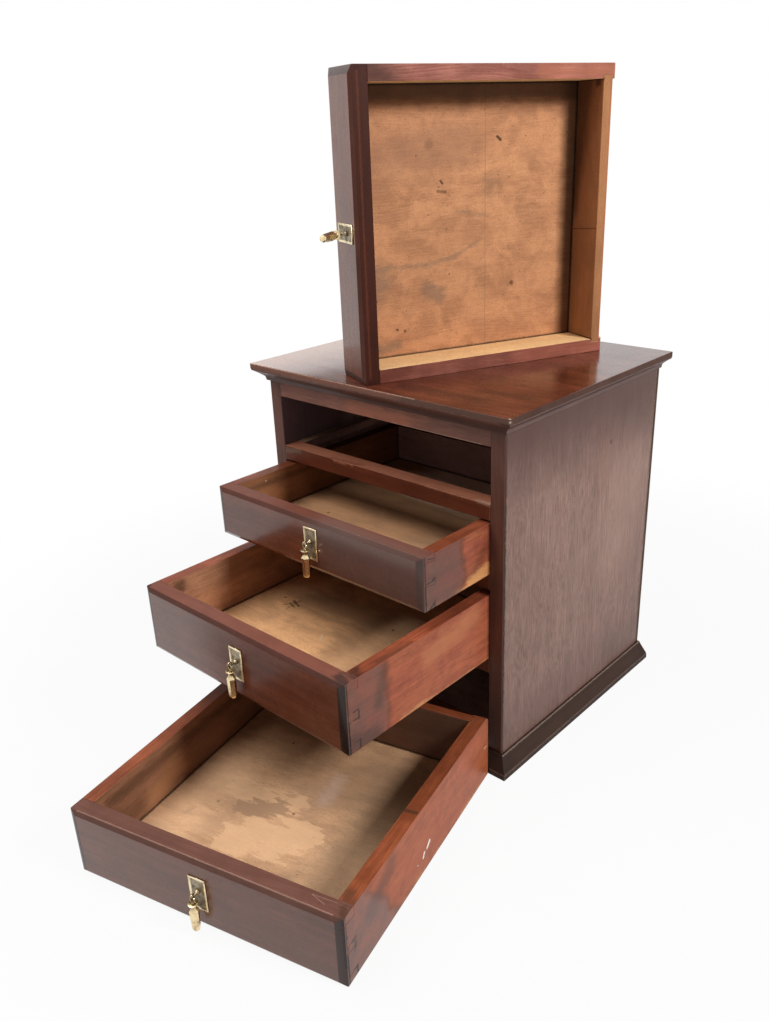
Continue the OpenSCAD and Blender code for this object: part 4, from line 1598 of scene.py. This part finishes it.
LOOK_4 = Look(
    front_tone=1.1, front_coat=0.82, end_tone=0.8, reach=58.0, lean=-0.7, floor_up=LARGE_FLOOR,
    red_dark=(0.31, 0.074, 0.03), red_light=(0.45, 0.118, 0.048), orange_share=0.15,
    polish=(0.14, 0.058, 0.04), wall_dark=(0.23, 0.1, 0.055), wall_light=(0.46, 0.215, 0.12),
    top_dark=(0.105, 0.04, 0.028), top_light=(0.195, 0.084, 0.06),
    slope_dark=(0.085, 0.036, 0.026), slope_light=(0.15, 0.068, 0.05),
    front_marks=(
        Mark((-126, 0, LARGE_TOP), (124, 0, LARGE_TOP), 0.6, (0.36, 0.2, 0.15), 0.6, 0.7, 0.7),
        Mark((OUTSIDE, -1, LARGE_TOP), (128, 9, LARGE_TOP), 3.0, BROWN_DIRT_AND_SHADE, 0.7, 0.6, 0.8),
        Mark((133.4, -1, 20), (133.4, -1, 66), 1.5, BLACK_DIRT, 0.9, 0.4, 0.9),
        Mark((100.5, 9.9, LARGE_TOP), (114, 5.5, LARGE_TOP), 0.22, (0.36, 0.23, 0.18), 0.6, 0.6),
        Mark((100.5, 9.9, LARGE_TOP), (122, 10.8, LARGE_TOP), 0.22, (0.36, 0.23, 0.18), 0.5, 0.6)),
    edge_dark=(0.165, 0.039, 0.015), edge_light=(0.33, 0.09, 0.036),
    edge_marks=(
        Mark((133, 12, LARGE_TOP), (124, 22, LARGE_TOP), 5.0, BROWN_DIRT_AND_SHADE, 0.6, 0.8, 0.6),
        Mark((122, 118, LARGE_TOP), (131, 119, LARGE_TOP), 1.8, BROWN_DIRT_AND_SHADE, 0.8)),
    side_marks=lap_marks(LARGE_TOP, 1.2, (
        ((9.0, 31.0, 0.4), (12.0, 31.5, 0.7), (12.5, 40.4, 0.6), (10.5, 42.0, 0.5)),
        ((8.0, 58.5, 0.5), (13.2, 60.0, 1.2), (13.5, 66.0, 0.6)))) + (
        spot(OUTSIDE, 3.2, 34, 1.8, BLACK_DIRT), spot(OUTSIDE, 2.8, 47, 1.3, BLACK_DIRT),
        Mark((OUTSIDE, 132, 20.5), (OUTSIDE, 137, 24.5), 1.5, (0.92, 0.9, 0.86), 1.0, 0.2, 0.5),
        Mark((OUTSIDE, 124.5, 16), (OUTSIDE, 127, 20), 1.2, (0.92, 0.9, 0.86), 1.0, 0.2, 0.5),
        spot(OUTSIDE, 114.5, 16.3, 0.7, (0.86, 0.84, 0.8), 0.95, 0.2, 0.4),
        Mark((OUTSIDE, 255, 37), (OUTSIDE, 261, 36), 0.5, (0.8, 0.62, 0.46), 0.8),
        Mark((OUTSIDE, 40, 40), (OUTSIDE, 70, 58), 10.0, (0.085, 0.036, 0.024), 0.55, 0.8)),
    wall_marks=(
        Mark((-INSIDE, 30, 54), (-INSIDE, 210, 52), 6.0, BROWN_DIRT_AND_SHADE, 0.6, 0.8),
        # Painted light: an orange patch on the front of the left wall, where light falls.
        Mark((-INSIDE, 80, 20), (-INSIDE, 110, 34), 13.0, (0.46, 0.22, 0.1), 0.6, 0.9),
        Mark((-INSIDE, 20, 30), (-INSIDE, 60, 26), 10.0, BROWN_DIRT_AND_SHADE, 0.4, 0.9)),
    floor_dark=(0.53, 0.3, 0.162), floor_light=(0.72, 0.425, 0.235), grime_share=0.35,
    floor_marks=(
        Mark((76, 40, LARGE_FLOOR), (82, 200, LARGE_FLOOR), 30.0, (0.24, 0.16, 0.1), 0.5, 0.6,
             0.5),
        Mark((40, 50, LARGE_FLOOR), (-10, 36, LARGE_FLOOR), 10.0, (0.28, 0.185, 0.115), 0.55, 0.4,
             0.6),
        Mark((10, 150, LARGE_FLOOR), (50, 215, LARGE_FLOOR), 26.0, (0.3, 0.18, 0.11), 0.45, 0.7,
             0.5),
        Mark((-60, 80, LARGE_FLOOR), (-52, 92, LARGE_FLOOR), 12.0, (0.33, 0.2, 0.12), 0.45, 0.7),
        Mark((-16, 84, LARGE_FLOOR), (10, 96, LARGE_FLOOR), 27.0, (0.68, 0.415, 0.235), 0.65,
             0.06, 0.7),
        Mark((-62, 130, LARGE_FLOOR), (-6, 134, LARGE_FLOOR), 15.0, (0.68, 0.415, 0.235), 0.5,
             0.15, 0.9),
        Mark((-46, 114, LARGE_FLOOR), (-14, 126, LARGE_FLOOR), 9.5, (0.33, 0.195, 0.115), 0.85,
             0.06, 0.8),
        Mark((18, 155, LARGE_FLOOR), (14, 184, LARGE_FLOOR), 7.0, (0.6, 0.44, 0.36), 0.35, 0.95,
             0.8),
        spot(-56.8, 211.7, LARGE_FLOOR, 1.2), spot(-72.3, 109.5, LARGE_FLOOR, 1.2),
        spot(1.0, 125.8, LARGE_FLOOR, 1.5, (0.2, 0.09, 0.04)),
        Mark((-90, 84, LARGE_FLOOR), (-88, 92, LARGE_FLOOR), 2.4, (0.3, 0.18, 0.11), 0.6, 0.6),
        # Painted light: a soft paler area on the bottom along the left wall.
        Mark((-100, 40, LARGE_FLOOR), (-92, 150, LARGE_FLOOR), 30.0, (0.88, 0.55, 0.32), 0.35,
             0.95)))


@dataclass
class Drawer:
    """One drawer: its five boards, and the brass plate, eye and drop of its pull."""

    shop: Shop
    number: int
    height: float
    place: Matrix
    look: Look
    swing: float = 0.0
    plate_wide: float = 16.5
    plate_tall: float = 32.0
    plate_up: float = 1.2
    plate_face: float = -3.7
    plate_back: float = -2.5
    plate_rim: float = 1.9
    plate_sink: float = 0.5
    eye_up: float = 2.6
    eye_front: float = -10.2
    ring: float = 2.2
    wire: float = 0.75
    shank: float = 1.05
    hinge_drop: float = 0.4
    front_thick: float = FRONT_THICK
    inner_half: float = INSIDE
    inner_back: float = BACK_WALL
    drop_long: float = 33.5

    @property
    def body(self) -> str:
        """The body that the drawer's boards ride on."""
        return f"drawer_{self.number}"

    @property
    def plate_middle(self) -> float:
        """The level of the plate's middle over the drawer's foot."""
        return self.height / 2 + self.plate_up

    @property
    def eye_level(self) -> float:
        """The level of the eye's middle over the drawer's foot."""
        return self.plate_middle + self.eye_up

    @property
    def outside(self) -> DrawerSideWood:
        """The finish of both sides and of the front's ends, where the pins show.

        Returns:
            The finish.
        """
        look = self.look
        return DrawerSideWood(
            f"drawer_{self.number}_side_outside", height=self.height, seed=90.0 * self.number,
            reach=look.reach, lean=look.lean, red_dark=look.red_dark, red_light=look.red_light,
            orange_share=look.orange_share, polish=look.polish, marks=look.side_marks)

    @property
    def dirt(self) -> tuple[Mark, ...]:
        """Dirt that has settled where the bottom and the four walls meet.

        Returns:
            The marks: four lines round the bottom, then one up each corner.
        """
        half, near, far = self.inner_half, self.front_thick, self.inner_back
        up, brim = self.look.floor_up, self.height
        low = ((-half, near, up), (half, near, up), (half, far, up), (-half, far, up))
        lines = [(*pair, 1.4) for pair in zip(low, low[1:] + low[:1])]
        lines += [((*foot[:2], up), (*foot[:2], brim), 0.9) for foot in low]
        return tuple(Mark(one, two, radius, BLACK_DIRT, 0.8, 0.85, 0.5)
                     for one, two, radius in lines)

    @property
    def edge(self) -> PolishedWood:
        """The finish of the top edges of the sides and of the back.

        Returns:
            The finish.
        """
        look = self.look
        return PolishedWood(f"drawer_{self.number}_side_top", dark=look.edge_dark,
                            light=look.edge_light, worn=(0.60, 0.26, 0.13), worn_share=0.6,
                            gloss=0.38, coat=0.05, figure=1.0, fine=0.7, band=5.0,
                            mottle=0.6, pored=0.6, marks=look.edge_marks)

    def build(self) -> None:
        """Builds the drawer and its pull."""
        self.build_front()
        self.build_sides()
        self.build_back_and_bottom()
        self.build_plate()
        self.build_eye()
        self.build_drop()
        log.info("drawer %d: front, sides, back, bottom, plate, eye and drop", self.number)

    def build_front(self) -> None:
        """Builds the polished front."""
        n, look, outside = self.number, self.look, self.outside
        face = PolishedWood(f"drawer_{n}_front_polish",
                            dark=shade((0.105, 0.027, 0.012), look.front_tone),
                            light=shade((0.245, 0.072, 0.034), look.front_tone), streak=0.8,
                            figure=1.0, coat=look.front_coat, worn_share=0.3, gloss=0.22,
                            pored=0.7, marks=look.front_marks, rubbed=look.front_rubbed)
        ends = PolishedWood(f"drawer_{n}_front_ends", coat=0.4, marks=look.front_marks,
                            dark=shade((0.060, 0.028, 0.021), look.end_tone),
                            light=shade((0.085, 0.042, 0.032), look.end_tone))
        slope = PolishedWood(f"drawer_{n}_front_slope", dark=look.slope_dark,
                             light=look.slope_light, coat=0.14, gloss=0.40,
                             marks=look.front_marks)
        top = PolishedWood(f"drawer_{n}_front_top", dark=look.top_dark, light=look.top_light,
                           gloss=0.46, coat=0.0, worn_share=0.25, marks=look.front_marks)
        inner = BareWood(f"drawer_{n}_front_inside", dark=(0.150, 0.060, 0.026),
                         light=(0.300, 0.130, 0.060), marks=self.dirt)
        self.shop.board(f"drawer_{n}_front", self.body, "drawer_front_mahogany", Grain.ACROSS,
                        self.place,
                        {None: face, Facing.TOP: top, Facing.REAR: inner,
                         Facing.SLOPE_LEFT: ends, Facing.SLOPE_RIGHT: ends,
                         Facing.SLOPE_TOP: slope, Facing.LEFT: outside,
                         Facing.RIGHT: outside}, 0.5, 30.0 + n)

    def build_sides(self) -> None:
        """Builds both sides."""
        n, look = self.number, self.look
        inner = BareWood(f"drawer_{n}_side_inside", dark=look.wall_dark, light=look.wall_light,
                         marks=look.wall_marks + self.dirt, grime_share=look.wall_grime)
        for seed, (name, inward) in enumerate(
                {"left": Facing.RIGHT, "right": Facing.LEFT}.items()):
            self.shop.board(f"drawer_{n}_side_{name}", self.body, "drawer_side_mahogany",
                            Grain.DEPTH, self.place,
                            {None: self.outside, Facing.TOP: self.edge, inward: inner}, 0.5,
                            40.0 + 2 * n + seed)

    def build_back_and_bottom(self) -> None:
        """Builds the back and the bottom."""
        n, look = self.number, self.look
        inner = BareWood(f"drawer_{n}_back_wood", dark=look.back_dark, light=look.back_light,
                         marks=look.back_marks + self.dirt)
        self.shop.board(f"drawer_{n}_back", self.body, "drawer_side_mahogany", Grain.ACROSS,
                        self.place,
                        {None: inner, Facing.TOP: self.edge if look.back_polished else inner},
                        0.5, 50.0 + n)
        floor = BareWood(f"drawer_{n}_bottom_wood", dark=look.floor_dark,
                         light=look.floor_light, specks=look.specks, corner=4.0,
                         marks=look.floor_marks + self.dirt[:4], streak=0.7,
                         figure=look.floor_figure, drawn=look.floor_drawn,
                         grime_share=look.grime_share, grime_size=26.0, grime=look.grime)
        under = BareWood(f"drawer_{n}_bottom_under", dark=(0.200, 0.100, 0.045),
                         light=(0.380, 0.210, 0.100))
        self.shop.board(f"drawer_{n}_bottom", self.body, "drawer_bottom_wood",
                        look.floor_grain, self.place, {None: under, Facing.TOP: floor}, 0.3,
                        60.0 + n)

    def build_plate(self) -> None:
        """Builds the back plate, a raised border round a sunk field with a fine step."""
        wide, tall, middle = self.plate_wide / 2, self.plate_tall / 2, self.plate_middle
        sunk = self.plate_face + self.plate_sink
        steps = ((0.0, self.plate_back), (0.0, self.plate_face + 0.35),
                 (0.35, self.plate_face), (self.plate_rim - 0.5, self.plate_face),
                 (self.plate_rim, sunk + 0.12), (self.plate_rim + 0.5, sunk),
                 (self.plate_rim + 0.8, sunk), (self.plate_rim + 1.0, sunk + 0.1))
        loops = [[(sx * (wide - inset), depth, middle + sz * (tall - inset))
                  for sx, sz in ((-1, -1), (1, -1), (1, 1), (-1, 1))]
                 for inset, depth in steps]
        bm = bmesh.new()
        add_skin(bm, loops)
        bmesh.ops.recalc_face_normals(bm, faces=bm.faces)
        for face in bm.faces:
            far = max(abs(vert.co.x) for vert in face.verts) / MM
            face.material_index = int(far < wide - self.plate_rim + 0.1)
        self.shop.show(bm, f"pull_plate_{self.number}_brass", self.body, "plate_brass",
                       self.place, (OldBrass("plate_rim_brass", bright=(0.90, 0.76, 0.50),
                                             dull_share=0.15, gloss=0.28),
                                    OldBrass("plate_field_brass", bright=(0.40, 0.34, 0.24),
                                             dull=(0.16, 0.12, 0.08), dull_share=0.5,
                                             gloss=0.42)),
                       f"pull_plate_{self.number}")

    def build_eye(self) -> None:
        """Builds the eye with its shank, its washer and the legs clenched inside the drawer."""
        bm = bmesh.new()
        level = self.eye_level
        add_ring(bm, (0, self.eye_front, level), self.ring, self.wire, 0)
        start, inside = self.eye_front + self.ring, self.front_thick
        add_turned(bm, (0, 0, level), (
            (start - 0.2, self.shank * 0.9, 0), (start + 0.5, self.shank * 1.2, 0),
            (self.plate_face - 1.2, self.shank * 1.25, 0), (self.plate_face - 0.9, 2.2, 0),
            (self.plate_face + 0.35, 2.4, 0), (self.plate_face + 0.4, self.shank, 0),
            (inside + 0.4, self.shank, 0)), 1)
        leg, thick = ((-0.8, 0.0), (0.8, 0.0), (0.7, 6.0), (-0.7, 6.0)), 0.75
        for way in (-1, 1):
            add_skin(bm, [[(x, inside + depth, level + way * z) for x, z in leg]
                          for depth in (0.0, thick)])
        bmesh.ops.recalc_face_normals(bm, faces=bm.faces)
        self.shop.show(bm, f"pull_eye_{self.number}_brass", self.body, "eye_brass", self.place,
                       (OldBrass("eye_brass", bright=(0.46, 0.37, 0.22),
                                 dull=(0.12, 0.09, 0.06), dull_share=0.5),),
                       f"pull_eye_{self.number}")

    def build_drop(self) -> None:
        """Builds the drop: wire ring, collar, neck and a six-sided tapering body."""
        bm = bmesh.new()
        add_ring(bm, (0, 0, -self.ring), self.ring, self.wire, 1)
        end = -self.drop_long
        add_turned(bm, (0, 0, 0), (
            (-4.5, 1.0, 0), (-5.2, 1.5, 0), (-5.4, 3.6, 0), (-5.6, 4.1, 0), (-5.95, 4.2, 0),
            (-6.3, 4.1, 0), (-6.5, 3.6, 0), (-6.8, 2.7, 0), (-7.6, 2.25, 0.2),
            (-9.2, 2.2, 0.6), (-10.4, 2.45, 1), (-11.4, 3.2, 1), (-12.6, 4.0, 1),
            (-13.6, 4.15, 1), (-14.2, 4.1, 1), (end + 3.2, 3.55, 1), (end + 1.5, 3.15, 0.8),
            (end + 0.6, 2.4, 0.5), (end + 0.1, 1.2, 0), (end, 0.4, 0)), 2)
        bmesh.ops.recalc_face_normals(bm, faces=bm.faces)
        for edge in bm.edges:
            if len(edge.link_faces) == 2:
                edge.smooth = edge.calc_face_angle() < math.radians(self.shop.arris_angle)
        hinge = self.place @ millimetres(0, self.eye_front, self.eye_level - self.hinge_drop)
        self.shop.show(bm, f"pull_drop_{self.number}_brass", f"drop_{self.number}",
                       "drop_brass", hinge @ turn(self.swing, "X"),
                       (OldBrass("drop_brass", marks=(
                           Mark((0, 0, 0), (0, 0, -3.6), 3.2, (0.20, 0.15, 0.08), 0.85),
                           Mark((0, 0, -7.6), (0, 0, -10.2), 3.1, (0.30, 0.21, 0.10),
                                0.6, 0.5))),),
                       f"pull_drop_{self.number}")


@dataclass
class Studio:
    """The table, the lights and the camera at the place the portrait was taken from."""

    eye: Point = (571.11, -727.04, 586.80)
    yaw: float = 42.15
    pitch: float = 23.20
    roll: float = -1.84
    focal: float = 909.27
    middle: tuple[float, float] = (406.80, 512.39)
    frame: tuple[int, int] = (769, 1021)
    sensor: float = 36.0
    fill: float = 0.16
    overhead: float = 26.0
    window: float = 24.0
    table_grey: Colour = (0.50, 0.50, 0.50)
    table_white: float = 0.93
    table_half: float = 9.0
    table_under: float = 0.2
    shadow_reach: float = 420.0
    table_fades: float = 800.0

    def build(self) -> None:
        """Builds the camera, the world, the lamps and the table."""
        bpy.context.scene.view_settings.view_transform = "Standard"
        self.build_camera()
        self.build_world()
        self.build_lamp("overhead_softbox", (-500, -800, 1700), (0, -250, 100), 1200,
                        self.overhead)
        self.build_lamp("window", (1358, -3, 1273), (0, -100, 300), 330, self.window)
        self.build_table()
        log.info("studio: camera, soft light and white table")

    def build_camera(self) -> None:
        """Builds the camera from the fitted place, direction and focal length."""
        yaw, pitch, roll = (math.radians(a) for a in (self.yaw, self.pitch, self.roll))
        ahead = Vector((-math.sin(yaw) * math.cos(pitch), math.cos(yaw) * math.cos(pitch),
                        -math.sin(pitch)))
        level = Vector((math.cos(yaw), math.sin(yaw), 0))
        above = level.cross(ahead)
        right = math.cos(roll) * level + math.sin(roll) * above
        up = -math.sin(roll) * level + math.cos(roll) * above
        data = bpy.data.cameras.new("portrait_camera")
        long = max(self.frame)
        data.sensor_width = self.sensor
        data.lens = self.focal * self.sensor / long
        data.shift_x = (self.frame[0] / 2 - self.middle[0]) / long
        data.shift_y = (self.middle[1] - self.frame[1] / 2) / long
        data.clip_start, data.clip_end = 0.01, 60.0
        camera = bpy.data.objects.new("portrait_camera", data)
        bpy.context.scene.collection.objects.link(camera)
        turned = Matrix((right, up, -ahead)).transposed().to_4x4()
        camera.matrix_world = millimetres(*self.eye) @ turned
        bpy.context.scene.camera = camera

    def build_world(self) -> None:
        """Builds a world that is white to the camera and in reflections, softer as light."""
        world = bpy.data.worlds.new("white_room")
        world.use_nodes = True
        bpy.context.scene.world = world
        sheet = Sheet(world.node_tree)
        path = sheet.node("LightPath").outputs
        seen = sheet.math("MAXIMUM", path["Is Camera Ray"], sheet.math(
            "MAXIMUM", path["Is Glossy Ray"], path["Is Transmission Ray"]))
        sky = sheet.node("Background")
        sheet.fill(sky, Color=WHITE, Strength=sheet.blend(seen, self.fill, 1.0))
        sheet.fill(sheet.node("OutputWorld"), Surface=sky.outputs[0])

    def build_lamp(self, name: str, where: Point, target: Point, size: float,
                   power: float) -> None:
        """Builds one soft square lamp.

        Args:
            name: The lamp's name.
            where: Its middle.
            target: The point that it faces.
            size: The length of its side.
            power: Its power in watts.
        """
        data = bpy.data.lights.new(name, "AREA")
        data.shape, data.size, data.energy = "SQUARE", size * MM, power
        lamp = bpy.data.objects.new(name, data)
        bpy.context.scene.collection.objects.link(lamp)
        aim = (Vector(target) - Vector(where)).to_track_quat("-Z", "Y").to_matrix().to_4x4()
        lamp.matrix_world = millimetres(*where) @ aim
        lamp.visible_camera = False

    def build_table(self) -> None:
        """Builds the white table, which keeps the chest's shadow and fades out far away."""
        bm = bmesh.new()
        bmesh.ops.create_grid(bm, x_segments=8, y_segments=8, size=self.table_half)
        mesh = bpy.data.meshes.new("white_table")
        bm.to_mesh(mesh)
        bm.free()
        table = bpy.data.objects.new("white_table", mesh)
        bpy.context.scene.collection.objects.link(table)
        table.location.z = -self.table_under * MM
        made, sheet, shader = new_material("white_paper")
        sheet.fill(shader, Base_Color=self.table_grey, Roughness=0.9)
        path = sheet.node("LightPath").outputs
        seen = sheet.math("MAXIMUM", path["Is Camera Ray"], path["Is Glossy Ray"])
        x, y, _ = sheet.split(sheet.place())
        far = sheet.math("SQRT", sheet.plus(sheet.times(x, x), sheet.times(y, y)))
        white = sheet.span(far, self.shadow_reach, self.table_fades, self.table_white, 1.0)
        glow = sheet.node("Emission")
        sheet.fill(glow, Color=WHITE, Strength=1.0)
        both = sheet.node("MixShader")
        sheet.put(both.inputs[0], sheet.times(seen, white))
        sheet.put(both.inputs[1], shader.outputs[0])
        sheet.put(both.inputs[2], glow.outputs[0])
        output = next(n for n in sheet.tree.nodes if n.type == "OUTPUT_MATERIAL")
        sheet.fill(output, Surface=both.outputs[0])
        mesh.materials.append(made)


@dataclass
class Layout:
    """Where each drawer's own frame stands: its front's lower edge, X across, Y to the back."""

    body_w: float = 300.0
    body_d: float = 271.2
    body_h: float = 364.4
    top_lip: float = 13.4
    plinth_lip: float = 13.0
    small_h: float = SMALL_TOP
    large_h: float = LARGE_TOP
    half_drawer: float = OUTSIDE
    drawer_l: float = 265.7
    floors: tuple[float, float] = (209.0, 120.4)
    run_gap: float = 0.2
    out_2: float = 89.6
    out_3: float = 186.0
    turn_1: float = -22.98
    shift_1: float = 2.1
    inset_1: float = 5.4
    swing_1: float = -133.0
    turn_4: float = 14.06
    inset_4: float = 6.1
    gap_4: float = 0.6

    def first(self) -> Matrix:
        """The top drawer, on its right side on the lid, with its front to the left.

        Returns:
            The place.
        """
        return (millimetres(-self.shift_1, -self.body_d / 2 - self.top_lip + self.inset_1,
                            self.body_h + self.half_drawer)
                @ turn(self.turn_1, "Z") @ turn(90, "Y") @ millimetres(0, 0, -self.small_h))

    def second(self) -> Matrix:
        """The second drawer, part open."""
        return millimetres(0, -self.body_d / 2 - self.out_2, self.floors[0] + self.run_gap)

    def third(self) -> Matrix:
        """The third drawer, further open."""
        return millimetres(0, -self.body_d / 2 - self.out_3, self.floors[1] + self.run_gap)

    def fourth(self) -> Matrix:
        """The lowest drawer, on the table in front of the chest.

        Returns:
            The place.
        """
        return (millimetres(self.body_w / 2 - self.inset_4,
                            -self.body_d / 2 - self.plinth_lip - self.gap_4, 0)
                @ turn(self.turn_4, "Z")
                @ millimetres(-self.half_drawer, -self.drawer_l, 0))


@dataclass
class Chest:
    """The whole chest, from its carcass to the last pull."""

    shop: Shop
    layout: Layout = field(default_factory=Layout)

    def build(self) -> None:
        """Builds the carcass and the four drawers."""
        Carcass(self.shop).build()
        at = self.layout
        Drawer(self.shop, 1, at.small_h, at.first(), LOOK_1, swing=at.swing_1).build()
        Drawer(self.shop, 2, at.small_h, at.second(), LOOK_2).build()
        Drawer(self.shop, 3, at.large_h, at.third(), LOOK_3).build()
        Drawer(self.shop, 4, at.large_h, at.fourth(), LOOK_4).build()


def main() -> None:
    """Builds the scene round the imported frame."""
    logging.basicConfig(level=logging.INFO, format="%(name)s: %(message)s")
    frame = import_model()
    Chest(Shop(frame["nodes"], Paint(Effects()))).build()
    Studio().build()


if __name__ == "__main__":
    main()
